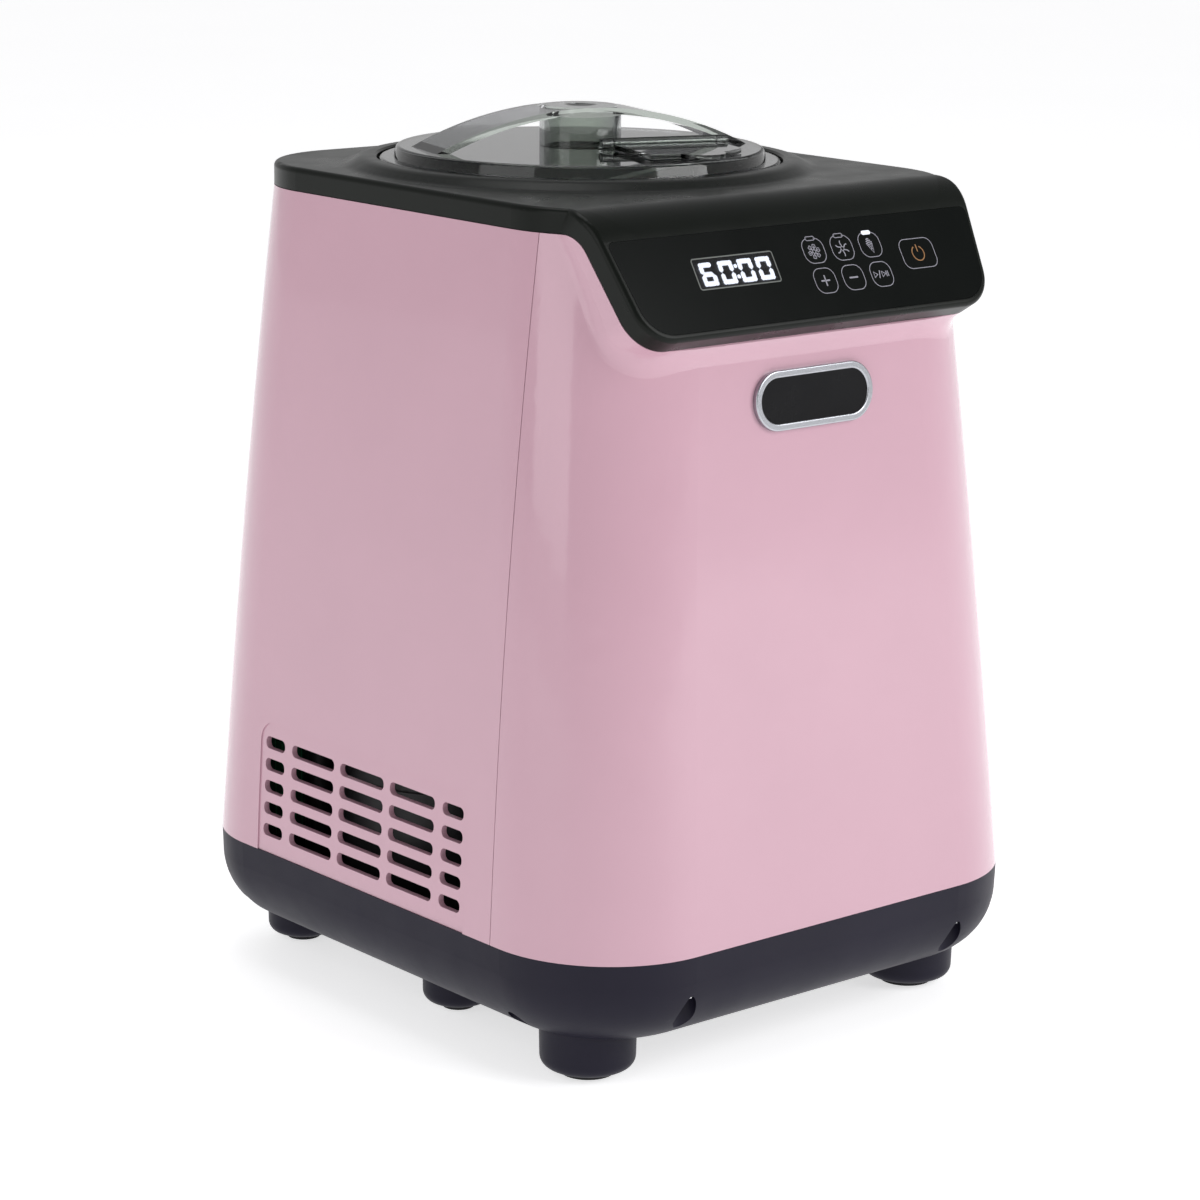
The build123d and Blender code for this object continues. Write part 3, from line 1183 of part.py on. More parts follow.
with BuildPart() as compressor_plate:
    with BuildSketch(Plane.XY.offset(PLATE_LOW_Z)):
        with Locations(COMPRESSOR_PLACE):
            RectangleRounded(MOUNT_SPACING + 22, MOUNT_SPACING + 22, 9.0)
        with Locations(*bolt_places()):
            Circle(2.9, mode=Mode.SUBTRACT)
    extrude(amount=COMPRESSOR_Z[0] - PLATE_LOW_Z)
compressor_plate.part.label = "compressor_plate"
export_step(compressor_plate.part, "parts/compressor_plate.step")

with BuildPart() as compressor_grommets:
    for place in bolt_places():
        add(ring(8.0, 2.9, FLOOR_TOP_Z, PLATE_LOW_Z, place))
compressor_grommets.part.label = "compressor_grommets"
export_step(compressor_grommets.part, "parts/compressor_grommets.step")

with BuildPart() as compressor_bolts:
    for place in bolt_places():
        add(ring(2.9, 0, FLOOR_TOP_Z, COMPRESSOR_Z[0] + 4.0, place))
        with BuildSketch(Plane((*place, COMPRESSOR_Z[0]))):
            RegularPolygon(5.2, 6)
        extrude(amount=3.0)
compressor_bolts.part.label = "compressor_bolts"
export_step(compressor_bolts.part, "parts/compressor_bolts.step")

TUBE_STEP = (CONDENSER_HIGH[2] - CONDENSER_LOW[2]) / TUBE_ROWS
TUBE_COLUMNS = (CONDENSER_LOW[0] + 6.0, CONDENSER_LOW[0] + 16.0)
with BuildPart() as condenser:
    low_x, low_y, low_z = CONDENSER_LOW
    high_x, high_y, high_z = CONDENSER_HIGH
    fin_step = (high_y - low_y - FIN_THICK) / (FIN_COUNT - 1)
    for fin in range(FIN_COUNT):
        fin_y = low_y + fin * fin_step
        add(box_between((low_x, fin_y, low_z), (high_x, fin_y + FIN_THICK, high_z)))
    for row in range(TUBE_ROWS):
        for tube_x in TUBE_COLUMNS:
            with BuildSketch(Plane.XZ.offset(-low_y + 3)):
                with Locations((tube_x, low_z + TUBE_STEP * (row + 0.5))):
                    Circle(2.8)
            extrude(amount=-(high_y - low_y + 6))
    for end_y in (low_y, high_y - FIN_THICK):
        add(box_between((low_x + 2, end_y, FLOOR_TOP_Z), (low_x + 12, end_y + FIN_THICK, low_z)))
condenser.part.label = "condenser"
export_step(condenser.part, "parts/condenser.step")

# ---------------------------------------------------------------- fan
FAN_X, FAN_Y, FAN_Z = FAN_PLACE


def fan_plane(x):
    """A plane across the fan's axis, facing the machine's right."""
    return Plane(origin=(x, FAN_Y, FAN_Z), x_dir=(0, 1, 0), z_dir=(1, 0, 0))


HUB_LOW_X = FAN_X - FAN_HUB[1] / 2
MOTOR_HIGH_X = HUB_LOW_X - 3.0
MOTOR_LOW_X = MOTOR_HIGH_X - FAN_MOTOR[1]
with BuildPart() as fan_blade:
    with BuildSketch(fan_plane(HUB_LOW_X)):
        Circle(FAN_HUB[0])
    extrude(amount=FAN_HUB[1])
    for blade in range(FAN_BLADES):
        turn = 2 * pi * blade / FAN_BLADES
        pitch = (0.62, -0.78 * sin(turn), 0.78 * cos(turn))
        outward = (0, cos(turn), sin(turn))
        with BuildSketch(Plane(origin=(FAN_X, FAN_Y, FAN_Z), x_dir=pitch, z_dir=outward)):
            Rectangle(14.0, 1.4)
        extrude(amount=FAN_RADIUS - 1.0)
    with BuildSketch(fan_plane(MOTOR_HIGH_X - 8)):
        Circle(1.5)
    extrude(amount=HUB_LOW_X - MOTOR_HIGH_X + 9)
fan_blade.part.label = "fan_blade"
export_step(fan_blade.part, "parts/fan_blade.step")

with BuildPart() as fan_motor:
    with BuildSketch(fan_plane(MOTOR_LOW_X)):
        Circle(FAN_MOTOR[0])
    extrude(amount=FAN_MOTOR[1])
    with BuildSketch(fan_plane(MOTOR_HIGH_X - 8.5)):
        Circle(1.5 + SHAFT_PLAY)
    extrude(amount=10, mode=Mode.SUBTRACT)
fan_motor.part.label = "fan_motor"
export_step(fan_motor.part, "parts/fan_motor.step")

with BuildPart() as fan_shroud:
    with BuildSketch(fan_plane(CONDENSER_LOW[0] - 2)):
        Rectangle(2 * SHROUD_RADIUS + 6, 2 * SHROUD_RADIUS + 4)
        Circle(SHROUD_RADIUS, mode=Mode.SUBTRACT)
    extrude(amount=2)
    with BuildSketch(fan_plane(HUB_LOW_X)):
        Circle(SHROUD_RADIUS + 2)
        Circle(SHROUD_RADIUS, mode=Mode.SUBTRACT)
    extrude(amount=CONDENSER_LOW[0] - 2 - HUB_LOW_X)
fan_shroud.part.label = "fan_shroud"
export_step(fan_shroud.part, "parts/fan_shroud.step")

with BuildPart() as fan_bracket:
    add(box_between((MOTOR_LOW_X + 3, FAN_Y - 12, FLOOR_TOP_Z), (MOTOR_HIGH_X - 3, FAN_Y + 12, FAN_Z - 10)))
    add(box_between((MOTOR_LOW_X, FAN_Y - 8, FLOOR_TOP_Z + 4), (MOTOR_HIGH_X, FAN_Y + 8, FAN_Z - 24)),
        mode=Mode.SUBTRACT)
    add(fan_motor.part, mode=Mode.SUBTRACT)
fan_bracket.part.label = "fan_bracket"
export_step(fan_bracket.part, "parts/fan_bracket.step")

# ---------------------------------------------------------------- refrigerant pipes and power board
DRIER_LOW_Z, DRIER_HIGH_Z = DRIER_Z
with BuildPart() as filter_drier:
    add(ring(DRIER_RADIUS, 0, DRIER_LOW_Z + 6, DRIER_HIGH_Z - 6, DRIER_PLACE))
    fillet(filter_drier.edges().filter_by(GeomType.CIRCLE), 4.0)
    add(ring(3.6, 0, DRIER_LOW_Z, DRIER_HIGH_Z, DRIER_PLACE))
filter_drier.part.label = "filter_drier"
export_step(filter_drier.part, "parts/filter_drier.step")

TUBE_END_Y = CONDENSER_HIGH[1] + 3.0
TOP_TUBE_Z = CONDENSER_LOW[2] + TUBE_STEP * (TUBE_ROWS - 0.5)
LOW_TUBE_Z = CONDENSER_LOW[2] + TUBE_STEP * 0.5
PIPE_HIGH_Z = PORT_TOP_Z + 12.0
REAR_PIPE_Y = 110.0
DISCHARGE_RUN = (
    (*DISCHARGE_PORT, PORT_TOP_Z), (*DISCHARGE_PORT, PIPE_HIGH_Z),
    (DISCHARGE_PORT[0], REAR_PIPE_Y, PIPE_HIGH_Z), (TUBE_COLUMNS[1], REAR_PIPE_Y, PIPE_HIGH_Z),
    (TUBE_COLUMNS[1], REAR_PIPE_Y, TOP_TUBE_Z), (TUBE_COLUMNS[1], TUBE_END_Y, TOP_TUBE_Z),
)
LIQUID_RUN = (
    (TUBE_COLUMNS[1], TUBE_END_Y, LOW_TUBE_Z), (TUBE_COLUMNS[1], DRIER_PLACE[1], LOW_TUBE_Z),
    (DRIER_PLACE[0], DRIER_PLACE[1], LOW_TUBE_Z), (*DRIER_PLACE, DRIER_LOW_Z),
)
CAPILLARY_RUN = (
    (*DRIER_PLACE, DRIER_HIGH_Z), (*DRIER_PLACE, DRIER_HIGH_Z + 18),
    (*INLET_TAIL, DRIER_HIGH_Z + 34), (*INLET_TAIL, TAIL_LOW_Z),
)
SUCTION_RUN = (
    (*OUTLET_TAIL, TAIL_LOW_Z), (*OUTLET_TAIL, TAIL_LOW_Z - 20),
    (*SUCTION_PORT, PIPE_HIGH_Z + 8), (*SUCTION_PORT, PORT_TOP_Z),
)
with BuildPart() as discharge_pipe:
    add(tube_run(DISCHARGE_RUN, PIPE_RADIUS))
discharge_pipe.part.label = "discharge_pipe"
export_step(discharge_pipe.part, "parts/discharge_pipe.step")

with BuildPart() as liquid_pipe:
    add(tube_run(LIQUID_RUN, PIPE_RADIUS, 5.0))
liquid_pipe.part.label = "liquid_pipe"
export_step(liquid_pipe.part, "parts/liquid_pipe.step")

with BuildPart() as capillary_tube:
    add(tube_run(CAPILLARY_RUN, CAPILLARY_RADIUS, 4.0))
capillary_tube.part.label = "capillary_tube"
export_step(capillary_tube.part, "parts/capillary_tube.step")

with BuildPart() as suction_pipe:
    add(tube_run(SUCTION_RUN, PIPE_RADIUS, 6.0))
suction_pipe.part.label = "suction_pipe"
export_step(suction_pipe.part, "parts/suction_pipe.step")

BOARD_Y = POST_PLACES[2][1] + POST_RADIUS
with BuildPart() as power_board:
    add(box_between((-92, BOARD_Y, 46), (-34, BOARD_Y + 1.6, 116)))
    add(box_between((-84, BOARD_Y + 1.6, 54), (-62, BOARD_Y + 14, 76)))
    add(box_between((-84, BOARD_Y + 1.6, 88), (-70, BOARD_Y + 11, 108)))
    for part_x, part_z in ((-50, 58), (-50, 72), (-42, 100)):
        with BuildSketch(Plane.XZ.offset(-BOARD_Y - 1.6)):
            with Locations((part_x, part_z)):
                Circle(5.0)
        extrude(amount=-12.0)
power_board.part.label = "power_board"
export_step(power_board.part, "parts/power_board.step")
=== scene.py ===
from math import cos, radians, sin, sqrt

import bmesh
import bpy
from mathutils import Matrix, Vector


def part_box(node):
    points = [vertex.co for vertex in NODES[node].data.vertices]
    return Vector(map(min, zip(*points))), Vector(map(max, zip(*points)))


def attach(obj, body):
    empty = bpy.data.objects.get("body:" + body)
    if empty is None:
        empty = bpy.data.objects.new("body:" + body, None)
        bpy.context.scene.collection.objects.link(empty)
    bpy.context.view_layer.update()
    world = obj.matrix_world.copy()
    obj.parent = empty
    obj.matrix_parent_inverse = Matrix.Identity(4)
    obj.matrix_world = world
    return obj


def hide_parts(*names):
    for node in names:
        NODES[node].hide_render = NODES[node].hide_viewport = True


# Looks of the ice cream maker: a pink case, a dark base, a black cover with a touch console
# and a clear lid. Places are in metres in the CAD's own frame: -Y is the machine's front, +Z is up,
# and +X is to the right of someone who faces it. Drawings on the console are in millimetres.

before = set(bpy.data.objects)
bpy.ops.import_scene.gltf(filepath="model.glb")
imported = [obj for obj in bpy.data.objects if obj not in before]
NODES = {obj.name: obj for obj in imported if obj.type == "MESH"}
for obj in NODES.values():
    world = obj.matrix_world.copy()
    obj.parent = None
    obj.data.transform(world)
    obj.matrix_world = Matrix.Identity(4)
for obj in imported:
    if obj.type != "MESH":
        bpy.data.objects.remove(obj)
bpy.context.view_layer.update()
MM = 0.001

# A noise pattern's values lie mostly between these two
NOISE_LOW = 0.3
NOISE_HIGH = 0.7


# ---------------------------------------------------------------- node and material helpers
def start_material(name):
    """A new node material; returns it with its node tree and its main shader."""
    material = bpy.data.materials.new(name)
    material.use_nodes = True
    tree = material.node_tree
    return material, tree, tree.nodes["Principled BSDF"]


def set_sockets(node, **values):
    """Sets plain values on a node's own sockets; an underscore stands for a space."""
    for name, value in values.items():
        node.inputs[name.replace("_", " ")].default_value = value


def rgba(color):
    """A colour with full alpha."""
    return (*color, 1.0)


def shade(color, factor):
    """A colour made lighter or darker."""
    return tuple(min(1.0, channel * factor) for channel in color)


def object_coords(tree, stretch=(1, 1, 1)):
    """Object coordinates in metres, stretched along each axis."""
    coords = tree.nodes.new("ShaderNodeTexCoord")
    mapping = tree.nodes.new("ShaderNodeMapping")
    mapping.inputs["Scale"].default_value = stretch
    tree.links.new(coords.outputs["Object"], mapping.inputs["Vector"])
    return mapping.outputs["Vector"]


def noise(tree, scale, detail=3.0, roughness=0.5, stretch=(1, 1, 1)):
    """A noise pattern with this many features per metre; returns its value socket."""
    texture = tree.nodes.new("ShaderNodeTexNoise")
    set_sockets(texture, Scale=scale, Detail=detail, Roughness=roughness)
    tree.links.new(object_coords(tree, stretch), texture.inputs["Vector"])
    return texture.outputs["Fac"]


def ramp(tree, value, stops):
    """A colour ramp over a value, from a list of (place, colour)."""
    node = tree.nodes.new("ShaderNodeValToRGB")
    node.color_ramp.elements[0].position, node.color_ramp.elements[0].color = stops[0]
    node.color_ramp.elements[1].position, node.color_ramp.elements[1].color = stops[-1]
    for place, color in stops[1:-1]:
        node.color_ramp.elements.new(place).color = color
    tree.links.new(value, node.inputs["Fac"])
    return node.outputs["Color"]


def two_tone(tree, value, low_color, high_color):
    """Two colours mixed by a noise value's usual range."""
    return ramp(tree, value, [(NOISE_LOW, rgba(low_color)), (NOISE_HIGH, rgba(high_color))])


def spread(tree, value, low, high):
    """Maps a noise value's usual range to low and high."""
    node = tree.nodes.new("ShaderNodeMapRange")
    set_sockets(node, From_Min=NOISE_LOW, From_Max=NOISE_HIGH, To_Min=low, To_Max=high)
    tree.links.new(value, node.inputs["Value"])
    return node.outputs["Result"]


def add_bump(tree, shader, *layers):
    """Bump from (height socket, depth in millimetres) layers, coarse ones first."""
    previous = None
    for height, depth in layers:
        node = tree.nodes.new("ShaderNodeBump")
        set_sockets(node, Strength=1.0, Distance=depth * MM)
        tree.links.new(height, node.inputs["Height"])
        if previous:
            tree.links.new(previous, node.inputs["Normal"])
        previous = node.outputs["Normal"]
    tree.links.new(previous, shader.inputs["Normal"])


def moulded_plastic(name, color, rough, grain=0.02, grain_scale=2600, mottle=0.04, wave=0.0, **sockets):
    """Moulded plastic: slight colour drift, uneven gloss, fine surface grain and a slow wave."""
    material, tree, shader = start_material(name)
    drift = noise(tree, scale=22, detail=4)
    colors = two_tone(tree, drift, shade(color, 1 - mottle), shade(color, 1 + mottle))
    tree.links.new(colors, shader.inputs["Base Color"])
    gloss = noise(tree, scale=60, detail=5, roughness=0.6)
    tree.links.new(spread(tree, gloss, *rough), shader.inputs["Roughness"])
    layers = [(noise(tree, grain_scale, detail=2, roughness=0.6), grain)]
    if wave:
        layers.insert(0, (noise(tree, scale=9, detail=1), wave))
    add_bump(tree, shader, *layers)
    set_sockets(shader, **sockets)
    return material


METAL_GRAIN = 0.01            # depth of the brushing, in millimetres
METAL_SHADES = (0.86, 1.08)


def metal(name, color, rough=(0.22, 0.34), stretch=(1, 1, 1), scale=900):
    """Metal with fine brushing or grain."""
    material, tree, shader = start_material(name)
    streaks = noise(tree, scale, detail=4, roughness=0.6, stretch=stretch)
    colors = two_tone(tree, streaks, *(shade(color, factor) for factor in METAL_SHADES))
    tree.links.new(colors, shader.inputs["Base Color"])
    tree.links.new(spread(tree, streaks, *rough), shader.inputs["Roughness"])
    add_bump(tree, shader, (streaks, METAL_GRAIN))
    set_sockets(shader, Metallic=1.0)
    return material


ACRYLIC_IOR = 1.49
RIM_BLEND = 0.35              # how far the deeper edge tint reaches in from the outline
FLOW_SHADES = (0.97, 1.03)


def clear_plastic(name, color, edge, rough=(0.02, 0.06), wave=0.03):
    """Clear tinted plastic with faint flow marks, deeper in colour where it is seen edge on."""
    material, tree, shader = start_material(name)
    flow = noise(tree, scale=40, detail=2, stretch=(1, 1, 3))
    colors = two_tone(tree, flow, *(shade(color, factor) for factor in FLOW_SHADES))
    rim = tree.nodes.new("ShaderNodeLayerWeight")
    rim.inputs["Blend"].default_value = RIM_BLEND
    blend = tree.nodes.new("ShaderNodeMix")
    blend.data_type = "RGBA"
    blend.inputs["B"].default_value = rgba(edge)
    tree.links.new(rim.outputs["Facing"], blend.inputs["Factor"])
    tree.links.new(colors, blend.inputs["A"])
    tree.links.new(blend.outputs["Result"], shader.inputs["Base Color"])
    gloss = noise(tree, scale=150, detail=4)
    tree.links.new(spread(tree, gloss, *rough), shader.inputs["Roughness"])
    add_bump(tree, shader, (flow, wave))
    set_sockets(shader, Transmission_Weight=1.0, IOR=ACRYLIC_IOR)
    return material


DIFFUSER_SHADE = 0.92         # the darkest places of a lit segment


def lit(name, color, strength):
    """A lit display segment, a little uneven as its diffuser is."""
    material, tree, shader = start_material(name)
    glow = two_tone(tree, noise(tree, scale=700, detail=2), shade(color, DIFFUSER_SHADE), color)
    tree.links.new(glow, shader.inputs["Emission Color"])
    tree.links.new(glow, shader.inputs["Base Color"])
    set_sockets(shader, Emission_Strength=strength, Roughness=0.4)
    return material


TRACK_SCALE = 160.0
TRACK_WIDTH = 0.035
TRACK_DEPTH = 0.03            # in millimetres


def circuit(name, color):
    """Circuit board lacquer with a grid of paler tracks showing through."""
    material, tree, shader = start_material(name)
    bricks = tree.nodes.new("ShaderNodeTexBrick")
    bricks.inputs["Color1"].default_value = rgba(color)
    bricks.inputs["Color2"].default_value = rgba(shade(color, 0.8))
    bricks.inputs["Mortar"].default_value = rgba(shade(color, 2.2))
    set_sockets(bricks, Scale=TRACK_SCALE, Mortar_Size=TRACK_WIDTH)
    tree.links.new(object_coords(tree), bricks.inputs["Vector"])
    tree.links.new(bricks.outputs["Color"], shader.inputs["Base Color"])
    gloss = noise(tree, scale=300)
    tree.links.new(spread(tree, gloss, 0.25, 0.4), shader.inputs["Roughness"])
    add_bump(tree, shader, (bricks.outputs["Fac"], TRACK_DEPTH))
    return material


CELL_SCALE = 700.0
CELL_DEPTH = 0.25             # in millimetres


def foam(name, color):
    """Expanded foam: uneven colour and open cells."""
    material, tree, shader = start_material(name)
    cells = tree.nodes.new("ShaderNodeTexVoronoi")
    set_sockets(cells, Scale=CELL_SCALE)
    tree.links.new(object_coords(tree), cells.inputs["Vector"])
    colors = two_tone(tree, noise(tree, scale=60, detail=5), shade(color, 0.8), color)
    tree.links.new(colors, shader.inputs["Base Color"])
    add_bump(tree, shader, (cells.outputs["Distance"], CELL_DEPTH))
    set_sockets(shader, Roughness=0.9)
    return material


# ---------------------------------------------------------------- colours
PINK = (0.535, 0.32, 0.39)
COVER_BLACK = (0.004, 0.0055, 0.004)
PANEL_BLACK = (0.004, 0.005, 0.0045)
BASE_PLUM = (0.012, 0.0108, 0.021)
BADGE_BLACK = (0.008, 0.008, 0.009)
SMOKE = (0.48, 0.52, 0.48)
SMOKE_EDGE = (0.17, 0.14, 0.2)
WINDOW_TINT = (0.25, 0.26, 0.28)
WINDOW_EDGE = (0.1, 0.1, 0.12)
LEGEND_GREY = (0.26, 0.255, 0.30)

LOOKS = {
    "pink": moulded_plastic("pink case plastic", PINK, rough=(0.13, 0.19), grain=0.003, grain_scale=1500,
                            mottle=0.015, wave=0.12, Coat_Weight=0.45, Coat_Roughness=0.05),
    "cover": moulded_plastic("black cover plastic", COVER_BLACK, rough=(0.26, 0.33), grain=0.006,
                             mottle=0.08, wave=0.03, Specular_IOR_Level=0.15),
    "panel": moulded_plastic("gloss console panel", PANEL_BLACK, rough=(0.16, 0.2), grain=0.001,
                             mottle=0.05, Specular_IOR_Level=0.06),
    "base": moulded_plastic("plum base plastic", BASE_PLUM, rough=(0.42, 0.5), grain=0.02,
                            mottle=0.08, wave=0.03, Specular_IOR_Level=0.15),
    "rubber": moulded_plastic("dark rubber", (0.016, 0.016, 0.018), rough=(0.65, 0.8), grain=0.04,
                              mottle=0.2, Specular_IOR_Level=0.3),
    "silicone": moulded_plastic("grey silicone", (0.42, 0.43, 0.44), rough=(0.45, 0.55), grain=0.02,
                                Subsurface_Weight=0.1),
    "black part": moulded_plastic("black inner plastic", (0.02, 0.02, 0.021), rough=(0.4, 0.5), grain=0.03,
                                  mottle=0.15),
    "badge plate": moulded_plastic("badge plate lacquer", BADGE_BLACK, rough=(0.22, 0.3), grain=0.008,
                                   mottle=0.1, Specular_IOR_Level=0.1),
    "paddle": moulded_plastic("paddle plastic", (0.78, 0.78, 0.76), rough=(0.35, 0.45), grain=0.01,
                              Subsurface_Weight=0.05),
    "gear": moulded_plastic("gear nylon", (0.72, 0.68, 0.58), rough=(0.4, 0.5), grain=0.02),
    "compressor": moulded_plastic("compressor paint", (0.014, 0.014, 0.016), rough=(0.3, 0.42), grain=0.05,
                                  grain_scale=1200, mottle=0.2),
    "steel": metal("brushed steel", (0.56, 0.57, 0.58), stretch=(1, 1, 14)),
    "bowl": metal("bowl aluminium", (0.72, 0.73, 0.74), rough=(0.2, 0.3), stretch=(1, 1, 20)),
    "aluminium": metal("plain aluminium", (0.66, 0.67, 0.69), rough=(0.3, 0.42), scale=600),
    "badge": metal("badge metal", (0.43, 0.44, 0.47), rough=(0.2, 0.28), scale=1600, stretch=(1, 10, 10)),
    "copper": metal("copper tube", (0.62, 0.28, 0.15), rough=(0.25, 0.4), scale=500),
    "bronze": metal("bearing bronze", (0.5, 0.33, 0.16), rough=(0.3, 0.45), scale=700),
    "smoke": clear_plastic("smoked clear plastic", SMOKE, SMOKE_EDGE),
    "window": clear_plastic("display window", WINDOW_TINT, WINDOW_EDGE, rough=(0.03, 0.05), wave=0.001),
    "legend": moulded_plastic("printed legend", LEGEND_GREY, rough=(0.4, 0.5), grain=0.002),
    "circuit": circuit("circuit board", (0.015, 0.11, 0.05)),
    "foam": foam("foam", (0.72, 0.62, 0.42)),
    "white light": lit("white light", (0.93, 0.95, 1.0), 5.0),
    "dim light": lit("dim light", (0.62, 0.66, 0.7), 0.8),
    "amber light": lit("amber light", (0.22, 0.1, 0.025), 0.3),
    "window line": moulded_plastic("window line", (0.11, 0.12, 0.11), rough=(0.3, 0.4), grain=0.001),
}

NODE_LOOKS = {
    "pink": "front_panel left_side_panel right_side_panel rear_panel",
    "cover": "top_cover cord_gland",
    "panel": "control_panel",
    "base": "base_tray feet",
    "rubber": "foot_pads well_gasket compressor_grommets shaft_seal",
    "silicone": "lid_seal",
    "black part": "display_module fan_blade fan_shroud fan_bracket deck_posts",
    "badge plate": "badge_plate",
    "paddle": "mixing_paddle",
    "gear": "output_gear idler_gear motor_pinion gearbox_housing gearbox_cover",
    "compressor": "compressor",
    "steel": "base_screws rear_screws flap_pin gearbox_screws compressor_bolts deck_plate compressor_plate "
             "drive_shaft idler_axle touch_springs mixing_motor fan_motor",
    "bowl": "ice_cream_bowl",
    "aluminium": "cooling_pot condenser",
    "badge": "badge_rim",
    "copper": "evaporator_coil filter_drier discharge_pipe liquid_pipe capillary_tube suction_pipe",
    "bronze": "lower_bearing upper_bearing",
    "smoke": "lid ingredient_flap",
    "window": "display_window",
    "circuit": "control_board power_board",
    "foam": "insulation",
    "white light": "display_digits",
}


def dress_cad_nodes():
    """Gives every CAD node its finish."""
    for look, names in NODE_LOOKS.items():
        for name in names.split():
            node = NODES[name]
            node.data.materials.clear()
            node.data.materials.append(LOOKS[look])


# ---------------------------------------------------------------- drawing on the console's face
PANEL_FOOT = 21.95            # from the panel's lower edge up to the zero line of the places below
PRINT_SINK = -0.02            # printed shapes start this far under the gloss panel's face
PRINT_RISE = 0.03             # and stand this far out of it
LIT_BAR_RISE = 0.02           # the lit bar covers its own printed outline
MITRE_LIMIT = 0.3             # keeps a sharp corner's mitre short

# The touch keys: two rows of three, then the power key
KEY_SIZE = (10.2, 9.6)
KEY_CORNER = 3.6
KEY_COLUMNS = (5.2, 19.0, 32.9)
KEY_ROWS = (3.0, -8.7)
ROW_SHIFT = 0.3               # the lower row stands slightly to the right
SIGN_DROP = 0.3               # the upper row's signs stand lower, clear of the small bars
POWER_KEY = (54.8, -2.3)
POWER_SIZE = (16.6, 11.6)
POWER_CORNER = 3.4

# The small bar in the top edge of each upper key, and where the key's outline stops beside it
PILL_SIZE = (4.3, 1.5)
PILL_CORNER = PILL_SIZE[1] / 2 - 0.05
PILL_STEPS = 5
PILL_GAP = PILL_SIZE[0] / 2 - 0.3

# The power sign: an open ring with a bar through its gap
POWER_RADIUS = 2.9
POWER_GAP_DEG = 28
POWER_STEPS = 24
POWER_BAR_FOOT = 0.6

SIGN_HALF = 2.1               # half the plus and minus signs' width

# Widths of the printed lines, from fine to bold
FINE_LINE = 0.24
PETAL_LINE = 0.26
OUTLINE_LINE = 0.27
SIGN_LINE = 0.28
RING_LINE = 0.3
PAUSE_LINE = 0.36
SLASH_LINE = 0.4
BOLD_LINE = 0.42
POWER_BAR_LINE = 0.5
PLUS_LINE = 0.55
MINUS_LINE = 0.6


def face_axes(node_name):
    """Origin and axes (right, up, outward) of a console piece's flat outer face, from its mesh."""
    mesh = NODES[node_name].data
    outward = max(mesh.polygons, key=lambda face: face.area).normal.copy()
    if outward.y > 0:
        outward.negate()
    right = Vector((1, 0, 0))
    up = outward.cross(right).normalized()
    level = max(vertex.co.dot(outward) for vertex in mesh.vertices)
    foot = min(vertex.co.dot(up) for vertex in mesh.vertices)
    origin = outward * level + up * (foot + PANEL_FOOT * MM)
    return origin, right, up, outward


PANEL_ORIGIN, PANEL_RIGHT, PANEL_UP, PANEL_OUT = face_axes("control_panel")


def on_panel(across, up, out=0.0):
    """A point of the console's face, from millimetres across, up and out."""
    return PANEL_ORIGIN + (PANEL_RIGHT * across + PANEL_UP * up + PANEL_OUT * out) * MM


def new_object(name, bm, look, body):
    """Makes an object of a bmesh, gives it its finish and rides it on a body."""
    mesh = bpy.data.meshes.new(name)
    bmesh.ops.recalc_face_normals(bm, faces=bm.faces)
    bm.to_mesh(mesh)
    bm.free()
    mesh.materials.append(LOOKS[look])
    thing = bpy.data.objects.new(name, mesh)
    bpy.context.collection.objects.link(thing)
    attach(thing, body)
    return thing


def offset_line(points, distance, closed):
    """A line's points moved sideways by distance, with mitred corners."""
    count = len(points)
    moved = []
    for index, point in enumerate(points):
        before = points[index - 1] if closed or index > 0 else None
        after = points[(index + 1) % count] if closed or index < count - 1 else None
        sides = []
        for a, b in ((before, point), (point, after)):
            if a is None or b is None:
                continue
            length = sqrt((b[0] - a[0]) ** 2 + (b[1] - a[1]) ** 2)
            sides.append(((a[1] - b[1]) / length, (b[0] - a[0]) / length))
        normal_x = sum(side[0] for side in sides) / len(sides)
        normal_y = sum(side[1] for side in sides) / len(sides)
        reach = distance / max(MITRE_LIMIT, normal_x ** 2 + normal_y ** 2)
        moved.append((point[0] + normal_x * reach, point[1] + normal_y * reach))
    return moved


def add_strip(bm, points, width, closed, low, high):
    """A raised strip along a line on the console's face."""
    left = offset_line(points, width / 2, closed)
    right = offset_line(points, -width / 2, closed)
    rings = []
    for (left_x, left_y), (right_x, right_y) in zip(left, right):
        rings.append([
            bm.verts.new(on_panel(left_x, left_y, low)), bm.verts.new(on_panel(left_x, left_y, high)),
            bm.verts.new(on_panel(right_x, right_y, high)), bm.verts.new(on_panel(right_x, right_y, low)),
        ])
    spans = len(rings) if closed else len(rings) - 1
    for index in range(spans):
        here, there = rings[index], rings[(index + 1) % len(rings)]
        for corner in range(4):
            following = (corner + 1) % 4
            bm.faces.new((here[corner], here[following], there[following], there[corner]))
    if not closed:
        bm.faces.new(rings[0])
        bm.faces.new(reversed(rings[-1]))


def add_patch(bm, points, low, high):
    """A raised filled shape on the console's face."""
    under = [bm.verts.new(on_panel(x, y, low)) for x, y in points]
    over = [bm.verts.new(on_panel(x, y, high)) for x, y in points]
    bm.faces.new(over)
    bm.faces.new(reversed(under))
    for index in range(len(points)):
        following = (index + 1) % len(points)
        bm.faces.new((under[index], under[following], over[following], over[index]))


def arc_points(centre, radius, start_deg, end_deg, steps):
    """Points along an arc, ends included."""
    angles = [radians(start_deg + (end_deg - start_deg) * step / steps) for step in range(steps + 1)]
    return [(centre[0] + radius * cos(angle), centre[1] + radius * sin(angle)) for angle in angles]


def ring_points(centre, radius, steps):
    """Points round a whole circle, for a closed outline."""
    last = steps - 1
    return arc_points(centre, radius, 0, 360 * last / steps, last)


